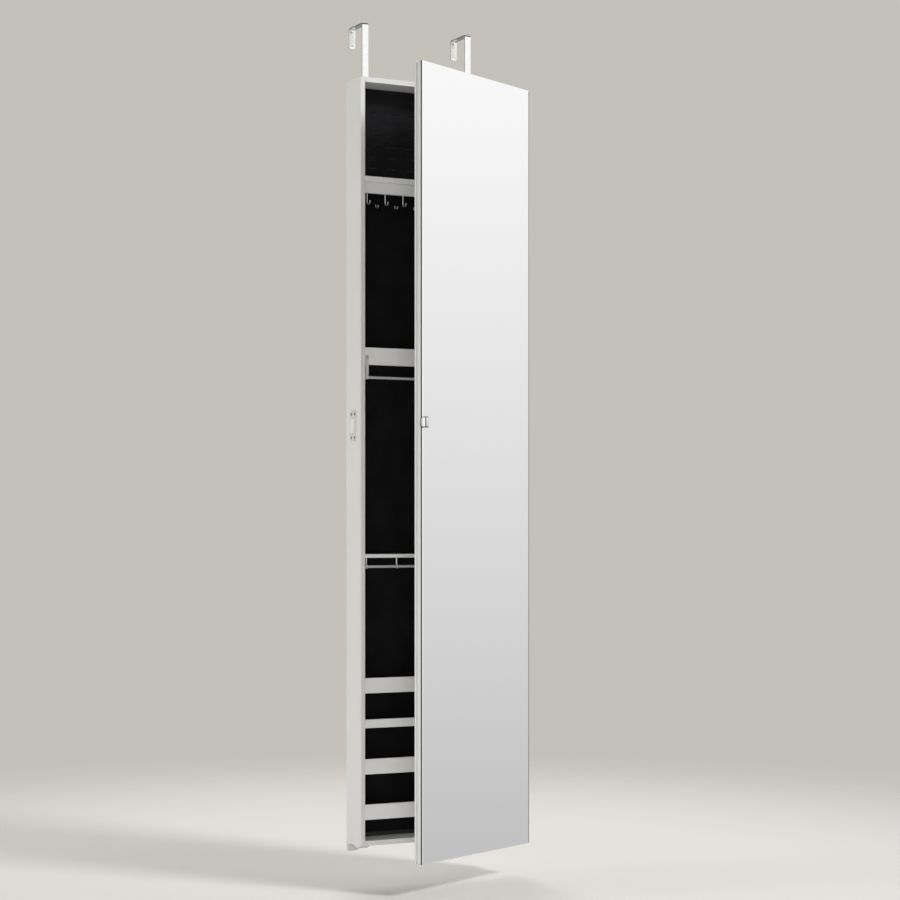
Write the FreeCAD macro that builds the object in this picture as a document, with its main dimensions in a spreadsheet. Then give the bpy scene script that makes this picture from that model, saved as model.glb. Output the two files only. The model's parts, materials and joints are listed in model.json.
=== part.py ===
import FreeCAD, Part
import math
import os
from types import SimpleNamespace

import Sketcher

# Over-the-door jewellery cabinet with a full-length mirror door, in millimetres.
# +X runs to the hinge side, +Y to the back and +Z up. The origin is the centre of the cabinet's
# rear face, the face that lies against the room door. Levels in the table below are counted up
# from the underside of the box, and depths back from its front edges.
# The mirror door is drawn closed, about its hinge axis, and then stands open by open_angle.

SIZES = [
    ("box_width", 367, "outside width of the box and of the mirror door"),
    ("box_height", 1524, "outside height of the box"),
    ("box_depth", 65, "outside depth of the box, without the door"),
    ("board", 10, "thickness of the side, top and bottom boards"),
    ("edge_round", 0.8, "rounding of painted edges"),
    ("back_board", 5, "thickness of the back board"),
    ("back_rebate", 5, "how far the back board laps over the boards around it"),
    ("back_fit", 0.2, "gap round the back board in its rebate"),
    ("lining", 2, "thickness of the velvet lining board"),
    ("lining_top_gap", 3, "bare strip above the lining"),
    ("lining_bottom_gap", 8, "bare strip below the lining"),
    ("lining_side_gap", 0.5, "gap each side of the lining"),
    ("front_setback", 3, "shelves and lips behind the front edges of the box"),
    ("dado", 2, "depth of the grooves that hold the shelf ends"),
    ("dado_fit", 0.1, "gap above and below a shelf end in its groove"),
    ("dowel_radius", 3, "corner dowels"),
    ("dowel_in_side", 7, "length of a dowel in the side board"),
    ("dowel_in_end", 22, "length of a dowel in the top or bottom board"),
    ("dowel_edge", 14, "dowel centres from the front and rear edges"),
    ("pin_fit", 0.05, "radial gap round dowels, hook shanks and hanger stems"),
    ("upper_shelf_level", 1318, "underside of the shelf below the earring pad"),
    ("upper_shelf", 10.5, "its thickness"),
    ("pad_thick", 6, "earring pad"),
    ("pad_margin", 2, "gap round the earring pad"),
    ("slit_first_drop", 46, "first row of slits below the top of the pad"),
    ("slit_row_pitch", 22, "pitch of the slit rows"),
    ("slit_pitch", 44, "pitch of the slits along a row"),
    ("slit_length", 19, "length of a slit"),
    ("slit_height", 1.6, "height of a slit"),
    ("slit_depth", 4, "depth of a slit"),
    ("rail_drop", 21, "height of the hook rail under the upper shelf"),
    ("rail_thick", 8, "thickness of the hook rail"),
    ("rail_setback", 12, "hook rail behind the front edge of its shelf"),
    ("wire_radius", 1.1, "wire of the necklace hooks"),
    ("hook_pitch", 40, "pitch of the front hooks"),
    ("hook_seat", 6, "hook shank inside the wood"),
    ("hook_drop", 17.4, "straight shank of a front hook below the rail"),
    ("hook_bend", 6.5, "bend radius of a front hook"),
    ("rear_hook_level", 1280, "axis of the rear hooks"),
    ("rear_hook_pitch", 43, "pitch of the rear hooks"),
    ("rear_hook_reach", 11, "straight shank of a rear hook"),
    ("rear_hook_turn", 4, "radius of its downward turn"),
    ("rear_hook_bend", 5.5, "bend radius of its cup"),
    ("rear_hook_seat", 2, "shank inside the lining"),
    ("necklace_tray_level", 954, "underside of the necklace tray"),
    ("necklace_lip", 34.3, "height of its lip"),
    ("necklace_lip_thick", 8, "thickness of its lip"),
    ("necklace_base", 6, "thickness of its base"),
    ("necklace_base_rise", 4, "underside of its base above the lower edge of its lip"),
    ("upper_rod_level", 928.5, "axis of the upper rod"),
    ("upper_rod_radius", 3.2, "upper rod"),
    ("bracket_thick", 1.5, "strip of the rod brackets"),
    ("bracket_width", 7, "width of that strip, and length of its socket"),
    ("bracket_rise", 45, "bracket strip above the rod axis"),
    ("bracket_side_gap", 1.5, "bracket from the side board"),
    ("socket_wall", 1.8, "wall of the rod sockets and hanger eyes"),
    ("socket_end", 1, "closed outer end of a rod socket"),
    ("rod_end_fit", 0.2, "gap between a rod's end and its socket"),
    ("bracket_screw_drop", 6, "screw below the top of the bracket strip"),
    ("middle_shelf_level", 571, "underside of the middle shelf"),
    ("middle_shelf", 7, "its thickness"),
    ("lower_rod_level", 553, "axis of the lower rod"),
    ("lower_rod_radius", 3, "lower rod"),
    ("hanger_inset", 15.5, "outer hangers from the outside of the box"),
    ("hanger_width", 3, "width of a hanger eye"),
    ("hanger_stem_radius", 1.4, "stem of a hanger"),
    ("hanger_seat", 5, "stem inside the shelf"),
    ("tray_1_level", 302, "underside of the first tray, counted from above"),
    ("tray_2_level", 233, "underside of the second tray"),
    ("tray_3_level", 141.2, "underside of the third tray"),
    ("tray_4_level", 51, "underside of the fourth tray"),
    ("tray_lip", 30.3, "lip height of trays 1, 3 and 4"),
    ("tray_2_lip", 17, "lip height of tray 2"),
    ("tray_lip_thick", 6, "thickness of a tray lip"),
    ("tray_base", 5, "thickness of a tray base"),
    ("liner", 1.5, "felt liner in a tray"),
    ("liner_gap", 0.5, "gap round a liner"),
    ("strap_width", 13.5, "width of an over-door hook"),
    ("strap", 2, "thickness of its steel strip, let in flush with the back"),
    ("strap_fit", 0.2, "gap each side of the strip in its recess"),
    ("strap_rise", 123, "hook above the box"),
    ("strap_lap", 90, "hook down the back of the box"),
    ("strap_bend", 4, "outer radius of its bends"),
    ("strap_corner", 4, "rounding of its ends"),
    ("hook_gap", 59, "clear gap for the top of the room door"),
    ("hook_tab", 41, "tab behind the room door, with the top bar"),
    ("left_hook_x", -142.5, "middle of the left hook"),
    ("right_hook_x", 92.2, "middle of the right hook"),
    ("hook_pad", 1, "thickness of the foam pad on a tab"),
    ("hook_pad_width", 10, "width of that pad"),
    ("hook_pad_height", 30, "height of that pad"),
    ("strap_screw_first", 20, "upper hook screw below the top of the box"),
    ("strap_screw_pitch", 50, "distance between a hook's screws"),
    ("screw_radius", 1.5, "shank of the wood screws"),
    ("screw_head_radius", 3, "head of the wood screws"),
    ("screw_head", 1, "height of the countersunk head"),
    ("back_screw", 2.8, "hook screw inside the back board"),
    ("side_plate_level", 833, "middle of the side plate and of the door pull"),
    ("side_plate_setback", 32.3, "middle of the side plate from the front edge"),
    ("side_plate_width", 25.5, "side plate, front to back"),
    ("side_plate_height", 62, "side plate, bottom to top"),
    ("side_plate_thick", 1.5, "side plate"),
    ("side_plate_corner", 6, "corner radius of the side plate"),
    ("plate_slot_width", 14, "slot in the side plate, front to back"),
    ("plate_slot_height", 29, "slot in the side plate, bottom to top"),
    ("plate_slot_corner", 2, "corner radius of the slot and of its insert"),
    ("plate_insert_gap", 0.3, "gap round the insert in that slot"),
    ("plate_insert_thick", 3.4, "insert in that slot"),
    ("plate_screw_width", 15, "side plate screws, front to back"),
    ("plate_screw_height", 46.5, "side plate screws, bottom to top"),
    ("plate_screw_length", 7, "side plate screws"),
    ("hinge_height", 50, "hinge"),
    ("hinge_knuckle_gap", 0.3, "gap between neighbouring knuckles"),
    ("hinge_out", 3, "hinge axis outside the side board"),
    ("hinge_pin_radius", 1.25, "hinge pin"),
    ("hinge_bore_fit", 0.06, "radial gap of the turning knuckles on the pin"),
    ("hinge_head", 1, "height of the pin's head"),
    ("hinge_leaf", 1.2, "thickness of a hinge leaf"),
    ("hinge_leaf_width", 14, "hinge leaf from the axis"),
    ("hinge_leaf_clear", 0.4, "leaf edge from the other leaf's knuckles"),
    ("hinge_screw_in", 9, "hinge screws from the axis"),
    ("hinge_screw_pitch", 30, "hinge screws, bottom to top"),
    ("hinge_screw_length", 7.5, "hinge screws"),
    ("low_hinge_level", 130, "middle of the lowest hinge"),
    ("high_hinge_level", 1394, "middle of the highest hinge"),
    ("open_angle", 25.7, "door angle at rest"),
    ("door_board", 15, "thickness of the door board"),
    ("glass", 3, "thickness of the mirror glass"),
    ("glass_bevel_width", 4, "bevel round the mirror"),
    ("glass_bevel_depth", 0.8, "depth of that bevel"),
    ("door_above", 3, "door above the box"),
    ("door_below", 16, "door below the box"),
    ("door_gap", 0.8, "closed door in front of the box"),
    ("edge_groove_width", 6, "groove round the edge of the door board"),
    ("edge_groove_depth", 1.5, "depth of that groove"),
    ("pull_height", 21, "pull, bottom to top"),
    ("pull_width", 11, "head of the pull along the door"),
    ("pull_proud", 10.5, "head of the pull in front of the glass"),
    ("pull_wrap", 4.5, "lug of the pull behind the glass front, on the door's edge"),
    ("pull_wrap_thick", 1.2, "thickness of that lug"),
    ("pull_edge_fit", 0.2, "gap between the lug and the edge"),
    ("pull_corner", 3, "rounding of the head, seen from the side"),
    ("pull_end", 1.2, "rounding of the head's inner end"),
    ("pull_screw_in", 5.5, "pull screw from the door's edge"),
    ("catch_length", 46, "magnetic catch along the top board"),
    ("catch_depth", 14, "magnetic catch, front to back"),
    ("catch_height", 12, "magnetic catch, top to bottom"),
    ("catch_x", -25, "middle of the catch"),
    ("magnet_length", 24, "magnet block"),
    ("magnet_height", 5, "magnet block"),
    ("magnet_depth", 10, "magnet block"),
    ("magnet_proud", 0.6, "magnet block in front of its housing"),
    ("catch_screw_pitch", 34, "screws of the catch"),
    ("strike_length", 30, "strike plate on the door"),
    ("strike_height", 10, "strike plate on the door"),
    ("strike_thick", 1, "strike plate on the door"),
    ("strike_drop", 7, "middle of magnet and strike below the inside of the top board"),
    ("strike_air", 0.1, "gap between magnet and strike when the door is closed"),
    ("buffer_radius", 4, "door buffers"),
    ("buffer_thick", 0.7, "door buffers"),
    ("buffer_edge", 5, "door buffers from the outside of the box"),
    ("bumper_length", 10.5, "lower bumper, front to back"),
    ("bumper_height", 16, "lower bumper below the box"),
    ("bumper_width", 22, "lower bumper, along the box"),
    ("bumper_round", 3, "rounding of the lower bumper"),
    ("foot_back", 36, "rear end of the pointed foot from the rear of the box"),
    ("foot_front", 62, "its front end from the rear of the box"),
    ("foot_tip", 49, "middle of its tip from the rear of the box"),
    ("foot_tip_width", 3, "width of its tip"),
    ("foot_height", 5.5, "pointed foot below the box"),
]

EARRING_ROWS = 6
EARRING_COLUMNS = 7
FRONT_HOOKS = 9
REAR_HOOKS = 7
HANGERS = 6
HINGES = 3
KNUCKLES = 5


class Size:
    """A number together with the spreadsheet expression that gives it."""

    def __init__(self, value, text=None):
        self.value = float(value)
        self.text = text or "(%r)" % self.value

    def joined(self, other, sign, value):
        return Size(value, "(%s %s %s)" % (self.text, sign, as_size(other).text))

    def __add__(self, other):
        return self.joined(other, "+", self.value + as_size(other).value)

    def __sub__(self, other):
        return self.joined(other, "-", self.value - as_size(other).value)

    def __mul__(self, other):
        return self.joined(other, "*", self.value * as_size(other).value)

    def __truediv__(self, other):
        return self.joined(other, "/", self.value / as_size(other).value)

    def __neg__(self):
        return Size(-self.value, "(-1 * %s)" % self.text)

    def __radd__(self, other):
        return as_size(other) + self

    def __rsub__(self, other):
        return as_size(other) - self

    def __rmul__(self, other):
        return as_size(other) * self


def as_size(value):
    return value if isinstance(value, Size) else Size(value)


def bind(item, path, size):
    """Ties one property of an object to the sheet."""
    item.setExpression(path, as_size(size).text)


def make_sheet(doc):
    """Writes the driving sizes and returns them by name."""
    sheet = doc.addObject("Spreadsheet::Sheet", "Sizes")
    named = SimpleNamespace()
    for row, (alias, value, note) in enumerate(SIZES, start=1):
        sheet.set("A%d" % row, alias)
        sheet.set("B%d" % row, str(value))
        sheet.set("C%d" % row, note)
        sheet.setAlias("B%d" % row, alias)
        setattr(named, alias, Size(value, "Sizes.%s" % alias))
    doc.recompute()
    return named


class Outline:
    """A sketch on one of the body's own origin planes, with every point dimensioned."""

    def __init__(self, body, name, role, offset):
        self.sketch = body.newObject("Sketcher::SketchObject", name)
        plane = origin_feature(body, role)
        self.sketch.AttachmentSupport = [(plane, "")]
        self.sketch.MapMode = "FlatFace"
        bind(self.sketch, "AttachmentOffset.Base.z", offset)

    def fix(self, kind, geometry, point, size):
        constraint = Sketcher.Constraint(kind, -1, 1, geometry, point, as_size(size).value)
        index = self.sketch.addConstraint(constraint)
        bind(self.sketch, "Constraints[%d]" % index, size)

    def place(self, geometry, point, at):
        self.fix("DistanceX", geometry, point, at[0])
        self.fix("DistanceY", geometry, point, at[1])

    def polygon(self, points):
        """Closed outline through points given as pairs of sizes."""
        flat = [FreeCAD.Vector(as_size(x).value, as_size(y).value, 0) for x, y in points]
        first = self.sketch.GeometryCount
        count = len(points)
        for i in range(count):
            self.sketch.addGeometry(Part.LineSegment(flat[i], flat[(i + 1) % count]), False)
        for i in range(count):
            joint = Sketcher.Constraint("Coincident", first + i, 2, first + (i + 1) % count, 1)
            self.sketch.addConstraint(joint)
        for i in range(count):
            self.place(first + i, 1, points[i])

    def rectangle(self, x0, y0, x1, y1):
        self.polygon([(x0, y0), (x1, y0), (x1, y1), (x0, y1)])

    def circle(self, x, y, radius):
        centre = FreeCAD.Vector(as_size(x).value, as_size(y).value, 0)
        shape = Part.Circle(centre, FreeCAD.Vector(0, 0, 1), as_size(radius).value)
        index = self.sketch.addGeometry(shape, False)
        self.place(index, 3, (x, y))
        constraint = self.sketch.addConstraint(
            Sketcher.Constraint("Radius", index, as_size(radius).value))
        bind(self.sketch, "Constraints[%d]" % constraint, radius)

    def line(self, begin, end):
        """Straight run with both ends dimensioned; returns its number."""
        a, b = [FreeCAD.Vector(as_size(x).value, as_size(y).value, 0) for x, y in (begin, end)]
        index = self.sketch.addGeometry(Part.LineSegment(a, b), False)
        self.place(index, 1, begin)
        self.place(index, 2, end)
        return index

    def arc(self, centre, radius, turn, joined, ends, level):
        """Arc about a dimensioned centre: one end meets `joined`, the other lies at a level."""
        middle = FreeCAD.Vector(as_size(centre[0]).value, as_size(centre[1]).value, 0)
        circle = Part.Circle(middle, FreeCAD.Vector(0, 0, 1), radius.value)
        begin, end = [math.radians(angle) for angle in turn]
        index = self.sketch.addGeometry(Part.ArcOfCircle(circle, begin, end), False)
        self.place(index, 3, centre)
        self.sketch.addConstraint(Sketcher.Constraint("Coincident", index, ends[0], *joined))
        self.fix("DistanceY", index, ends[1], level)
        return index


def origin_feature(body, role):
    for feature in body.Origin.OriginFeatures:
        if feature.Role == role:
            return feature
    raise ValueError("no origin feature " + role)


class Piece:
    """One body: its label is the name of the node, and its placement may turn about Z."""

    def __init__(self, label, at=(0, 0, 0), turn=None):
        self.doc = FreeCAD.ActiveDocument
        self.body = self.doc.addObject("PartDesign::Body", label)
        self.body.Label = label
        if turn is not None:
            upright = FreeCAD.Vector(0, 0, 1)
            self.body.Placement = FreeCAD.Placement(
                FreeCAD.Vector(), FreeCAD.Rotation(upright, turn.value))
            self.body.setExpression("Placement.Rotation.Angle", turn.text + " * 1 deg")
        for axis, size in zip("xyz", at):
            bind(self.body, "Placement.Base." + axis, size)

    def name(self, kind):
        return "%s_%s" % (self.body.Label, kind)

    def outline(self, role, offset=0):
        return Outline(self.body, self.name("outline"), role, offset)

    def feature(self, kind, sketch):
        feature = self.body.newObject("PartDesign::" + kind, self.name(kind.lower()))
        feature.Profile = sketch
        return feature

    def pad(self, outline, length, midplane=False):
        feature = self.feature("Pad", outline.sketch)
        feature.SideType = "Symmetric" if midplane else "One side"
        bind(feature, "Length", length)
        return feature

    def pocket(self, outline, length, reverse=False, midplane=False):
        feature = self.feature("Pocket", outline.sketch)
        feature.SideType = "Symmetric" if midplane else "One side"
        feature.Reversed = reverse
        bind(feature, "Length", length)
        return feature

    def revolve(self, outline, axis):
        feature = self.feature("Revolution", outline.sketch)
        feature.ReferenceAxis = (origin_feature(self.body, axis), [""])
        feature.Angle = 360
        return feature

    def pattern(self, originals, axis, pitch, count, axis2=None, pitch2=0, count2=1):
        """Repeats features along one or two axes, and makes the pattern the body's result."""
        feature = self.body.newObject("PartDesign::LinearPattern", self.name("pattern"))
        feature.Originals = originals
        feature.Direction = (origin_feature(self.body, axis), [""])
        bind(feature, "Length", pitch * (count - 1))
        feature.Occurrences = count
        if axis2:
            feature.Direction2 = (origin_feature(self.body, axis2), [""])
            bind(feature, "Length2", pitch2 * (count2 - 1))
            feature.Occurrences2 = count2
        self.body.Tip = feature
        return feature

    def round(self, radius, chosen):
        """Fillets the edges whose ends pass the test, read from the shape as it stands."""
        self.doc.recompute()
        tip = self.body.Tip
        names = edge_names(tip.Shape, chosen)
        if not names:
            raise ValueError("nothing to round on " + self.body.Label)
        feature = self.body.newObject("PartDesign::Fillet", self.name("round"))
        feature.Base = (tip, names)
        bind(feature, "Radius", radius)
        return feature


def edge_names(shape, chosen):
    names = []
    for number, edge in enumerate(shape.Edges, start=1):
        ends = [vertex.Point for vertex in edge.Vertexes]
        if len(ends) == 2 and chosen(ends[0], ends[1]):
            names.append("Edge%d" % number)
    return names


def close(a, b):
    return abs(a - as_size(b).value) < 1e-4


def along(axis, a, b):
    """True for an edge that runs along one axis."""
    return all(close(getattr(a, other), getattr(b, other)) for other in "xyz" if other != axis)


def box_piece(label, low, high):
    """A plain board between two corners."""
    piece = Piece(label, low)
    outline = piece.outline("XY_Plane")
    outline.rectangle(0, 0, high[0] - low[0], high[1] - low[1])
    piece.pad(outline, high[2] - low[2])
    return piece


# Places that several pieces share ---------------------------------------------------------------

def shared_places(q):
    """Adds the places worked out from the driving sizes."""
    q.half = q.box_width / 2
    q.bottom = -q.box_height / 2
    q.top = q.box_height / 2
    q.front = -q.box_depth
    q.inner = q.half - q.board
    q.floor = q.bottom + q.board
    q.ceiling = q.top - q.board
    q.lining_front = -(q.back_board + q.lining)
    q.shelf_front = q.front + q.front_setback
    q.shelf_half = q.inner + q.dado - q.dado_fit
    q.upper_rod_y = (q.shelf_front - q.bracket_thick + q.upper_rod_radius + q.pin_fit
                     + q.socket_wall)
    q.bracket_middle = q.inner - q.bracket_side_gap - q.bracket_width / 2
    q.hanger_pitch = (q.box_width - q.hanger_inset * 2) / (HANGERS - 1)
    q.rail_bottom = q.bottom + q.upper_shelf_level - q.rail_drop
    q.rail_front = q.shelf_front + q.rail_setback
    q.axis_x = q.half + q.hinge_out
    q.axis_y = q.front - q.door_gap / 2
    q.side_plate_z = q.bottom + q.side_plate_level
    q.side_plate_y = q.front + q.side_plate_setback
    q.middle_hinge_level = (q.low_hinge_level + q.high_hinge_level) / 2
    q.knuckle_radius = q.hinge_out
    q.door_back = -q.door_gap / 2
    q.door_front = q.door_back - q.door_board
    q.door_edge = -(q.hinge_out + q.box_width)
    q.pull_screw_x = q.door_edge + q.pull_screw_in
    q.strike_z = q.ceiling - q.strike_drop
    q.strike_low = q.catch_height - q.strike_drop - q.magnet_height / 2
    q.catch_front = q.front - q.door_gap + q.strike_thick + q.strike_air + q.magnet_proud


def groove_levels(q):
    """Underside and thickness of everything whose ends sit in the side boards."""
    return [
        (q.upper_shelf_level, q.upper_shelf, 0),
        (q.necklace_tray_level + q.necklace_base_rise, q.necklace_base, q.necklace_lip_thick),
        (q.middle_shelf_level, q.middle_shelf, 0),
        (q.tray_1_level, q.tray_base, q.tray_lip_thick),
        (q.tray_2_level, q.tray_base, q.tray_lip_thick),
        (q.tray_3_level, q.tray_base, q.tray_lip_thick),
        (q.tray_4_level, q.tray_base, q.tray_lip_thick),
    ]


# The box ----------------------------------------------------------------------------------------

def side_panel(q, label, side):
    """Side board: rebated for the back board, grooved for the shelves, drilled for dowels."""
    piece = Piece(label, (q.half * side, 0, q.bottom))
    outline = piece.outline("XY_Plane")
    outline.polygon([
        (0, 0),
        (0, q.front),
        (q.board * -side, q.front),
        (q.board * -side, -q.back_board),
        ((q.board - q.back_rebate) * -side, -q.back_board),
        ((q.board - q.back_rebate) * -side, 0),
    ])
    piece.pad(outline, q.box_height)
    piece.round(q.edge_round, lambda a, b: along("z", a, b) and close(a.y, q.front))

    grooves = piece.outline("YZ_Plane", q.board * -side)
    for level, thick, setback in groove_levels(q):
        low = level - q.dado_fit
        high = level + thick + q.dado_fit
        grooves.rectangle(q.shelf_front + setback, low, q.lining_front, high)
    piece.pocket(grooves, q.dado, reverse=side > 0)

    holes = piece.outline("YZ_Plane", q.board * -side)
    for y in (q.front + q.dowel_edge, -q.dowel_edge):
        for z in (q.board / 2, q.box_height - q.board / 2):
            holes.circle(y, z, q.dowel_radius + q.pin_fit)
    piece.pocket(holes, q.dowel_in_side + q.pin_fit, reverse=side > 0)
    if side < 0:
        drill_side_plate(q, piece)
    else:
        drill_hinges(q, piece)


def drill_side_plate(q, piece):
    """Screw holes for the side plate, from the outside."""
    holes = piece.outline("YZ_Plane")
    for y in (-1, 1):
        for z in (-1, 1):
            holes.circle(q.side_plate_y + q.plate_screw_width / 2 * y,
                         q.side_plate_level + q.plate_screw_height / 2 * z,
                         q.screw_radius + q.pin_fit)
    depth = q.plate_screw_length - q.side_plate_thick + q.pin_fit
    piece.pocket(holes, depth, reverse=True)


def drill_hinges(q, piece):
    """Screw holes for the hinge leaves, from the outside."""
    holes = piece.outline("YZ_Plane")
    for level in hinge_levels(q):
        for z in (-1, 1):
            holes.circle(q.axis_y + q.hinge_screw_in, level + q.hinge_screw_pitch / 2 * z,
                         q.screw_radius + q.pin_fit)
    piece.pocket(holes, q.hinge_screw_length - q.hinge_leaf + q.pin_fit)


def end_panel(q, label, up):
    """Top or bottom board between the sides, rebated for the back board."""
    piece = Piece(label, (-q.inner, 0, q.top * up))
    outline = piece.outline("YZ_Plane")
    outline.polygon([
        (q.front, 0),
        (0, 0),
        (0, (q.board - q.back_rebate) * -up),
        (-q.back_board, (q.board - q.back_rebate) * -up),
        (-q.back_board, q.board * -up),
        (q.front, q.board * -up),
    ])
    piece.pad(outline, q.inner * 2)
    piece.round(q.edge_round, lambda a, b: along("x", a, b) and close(a.y, q.front))
    for x, reverse in ((0, True), (q.inner * 2, False)):
        holes = piece.outline("YZ_Plane", x)
        for y in (q.front + q.dowel_edge, -q.dowel_edge):
            holes.circle(y, q.board / 2 * -up, q.dowel_radius + q.pin_fit)
        piece.pocket(holes, q.dowel_in_end + q.pin_fit, reverse=reverse)
    if up > 0:
        slots = piece.outline("XZ_Plane")
        for middle in (q.left_hook_x, q.right_hook_x):
            strap_slot(q, slots, middle + q.inner, -q.board, q.board / 2)
        piece.pocket(slots, q.strap, reverse=True)
        holes = piece.outline("XY_Plane", -q.board)
        for side in (-1, 1):
            holes.circle(q.inner + q.catch_x + q.catch_screw_pitch / 2 * side,
                         q.catch_front + q.catch_depth / 2, q.screw_radius + q.pin_fit)
        piece.pocket(holes, q.board * 0.6, reverse=True)


def strap_slot(q, outline, middle, low, high):
    """Adds the recess of one over-door hook to an outline."""
    half = q.strap_width / 2 + q.strap_fit
    outline.rectangle(middle - half, low, middle + half, high)


def panel_dowels(q):
    """Eight dowels that join the corners of the box."""
    piece = Piece("panel_dowels", (-(q.inner + q.dowel_in_side), q.front + q.dowel_edge,
                                   q.bottom + q.board / 2))
    outline = piece.outline("YZ_Plane")
    outline.circle(0, 0, q.dowel_radius)
    dowel = piece.pad(outline, q.dowel_in_side + q.dowel_in_end)
    across = q.inner * 2 + q.dowel_in_side - q.dowel_in_end
    far = piece.outline("YZ_Plane", across)
    far.circle(0, 0, q.dowel_radius)
    other = piece.pad(far, q.dowel_in_side + q.dowel_in_end)
    piece.pattern([dowel, other], "Z_Axis", q.box_height - q.board, 2,
                  "Y_Axis", q.box_depth - q.dowel_edge * 2, 2)


def back_panel(q):
    """Back board in its rebate, recessed and drilled for the over-door hooks."""
    x = q.inner + q.back_rebate - q.back_fit
    z = q.ceiling + q.back_rebate - q.back_fit
    piece = box_piece("back_panel", (-x, -q.back_board, -z), (x, 0, z))
    slots = piece.outline("XZ_Plane", -q.back_board)
    for middle in (q.left_hook_x, q.right_hook_x):
        strap_slot(q, slots, middle + x, q.top - q.strap_lap - q.strap_fit + z, z * 2 + q.board)
    piece.pocket(slots, q.strap, reverse=True)
    holes = piece.outline("XZ_Plane")
    for middle in (q.left_hook_x, q.right_hook_x):
        for step in (0, 1):
            level = q.top - q.strap_screw_first - q.strap_screw_pitch * step
            holes.circle(middle + x, level + z, q.screw_radius + q.pin_fit)
    piece.pocket(holes, q.back_board * 2, midplane=True)


def back_lining(q):
    """Velvet-covered board in front of the back board."""
    x = q.inner - q.lining_side_gap
    piece = box_piece("back_lining",
                      (-x, q.lining_front, q.floor + q.lining_bottom_gap),
                      (x, -q.back_board, q.ceiling - q.lining_top_gap))
    holes = piece.outline("XZ_Plane")
    for number in range(REAR_HOOKS):
        place = rear_hook_start(q) + q.rear_hook_pitch * number
        height = q.bottom + q.rear_hook_level - (q.floor + q.lining_bottom_gap)
        holes.circle(place + x, height, q.wire_radius + q.pin_fit)
    piece.pocket(holes, q.lining * 2, midplane=True)


# The inside -------------------------------------------------------------------------------------

def earring_pad(q):
    """Foam pad with rows of slits that hold earrings."""
    half = q.inner - q.pad_margin
    low = q.bottom + q.upper_shelf_level + q.upper_shelf + q.pad_margin
    high = q.ceiling - q.lining_top_gap - q.pad_margin
    piece = box_piece("earring_pad", (-half, q.lining_front - q.pad_thick, low),
                      (half, q.lining_front, high))
    piece.round(q.edge_round, lambda a, b: close(a.y, 0) and close(b.y, 0))
    first = half - q.slit_pitch * (EARRING_COLUMNS - 1) / 2 - q.slit_length / 2
    top_row = high - low - q.slit_first_drop
    lowest = top_row - q.slit_row_pitch * (EARRING_ROWS - 1)
    slit = piece.outline("XZ_Plane")
    slit.rectangle(first, lowest, first + q.slit_length, lowest + q.slit_height)
    cut = piece.pocket(slit, q.slit_depth)
    piece.pattern([cut], "X_Axis", q.slit_pitch, EARRING_COLUMNS,
                  "Z_Axis", q.slit_row_pitch, EARRING_ROWS)


def shelf(q, label, level, thick):
    """Shelf whose ends sit in the grooves of the sides."""
    low = q.bottom + level
    piece = box_piece(label, (-q.shelf_half, q.shelf_front, low),
                      (q.shelf_half, q.lining_front, low + thick))
    piece.round(q.edge_round, lambda a, b: along("x", a, b) and close(a.y, 0))
    return piece


def tray(q, name, level, base, lip, lip_thick, rise=0):
    """Tray: a base in the side grooves and a lip along its front, rise below the base."""
    low = q.bottom + level
    box_piece(name + "_base", (-q.shelf_half, q.shelf_front + lip_thick, low + rise),
              (q.shelf_half, q.lining_front, low + rise + base))
    front = box_piece(name + "_lip", (-q.inner, q.shelf_front, low),
                      (q.inner, q.shelf_front + lip_thick, low + lip))
    front.round(q.edge_round, lambda a, b: along("x", a, b) and (close(a.y, 0) or close(a.z, lip)))
    return front


def tray_liners(q):
    """Felt liner in each jewellery tray: one piece of felt for each."""
    low = q.bottom + q.tray_4_level + q.tray_base
    front = q.shelf_front + q.tray_lip_thick + q.liner_gap
    half = q.inner - q.liner_gap
    piece = Piece("tray_liners", (-half, front, low))
    for level in (q.tray_4_level, q.tray_3_level, q.tray_2_level, q.tray_1_level):
        outline = piece.outline("XY_Plane", level - q.tray_4_level)
        outline.rectangle(0, 0, half * 2, q.lining_front - q.liner_gap - front)
        piece.pad(outline, q.liner)


def hook_rail(q):
    """Board under the upper shelf that carries the front hooks."""
    piece = box_piece("hook_rail", (-q.inner, q.rail_front, q.rail_bottom),
                      (q.inner, q.rail_front + q.rail_thick, q.rail_bottom + q.rail_drop))
    piece.round(q.edge_round, lambda a, b: along("x", a, b) and close(a.z, 0))
    hole = piece.outline("XY_Plane")
    first = q.inner - q.hook_pitch * (FRONT_HOOKS - 1) / 2
    hole.circle(first, q.rail_thick / 2, q.wire_radius + q.pin_fit)
    cut = piece.pocket(hole, q.hook_seat + q.pin_fit, reverse=True)
    piece.pattern([cut], "X_Axis", q.hook_pitch, FRONT_HOOKS)


def sweep(piece, route, runs, section):
    """Round wire along a route, with a ball at its tip."""
    wire = piece.feature("AdditivePipe", section.sketch)
    wire.Spine = (route.sketch, ["Edge%d" % (run + 1) for run in range(runs)])
    return wire


def tip_ball(q, piece, y, z):
    """Rounded end of a wire hook."""
    ball = piece.body.newObject("PartDesign::AdditiveSphere", piece.name("tip"))
    bind(ball, "Radius", q.wire_radius * 1.2)
    bind(ball, "Placement.Base.y", y)
    bind(ball, "Placement.Base.z", z)
    return ball


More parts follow.
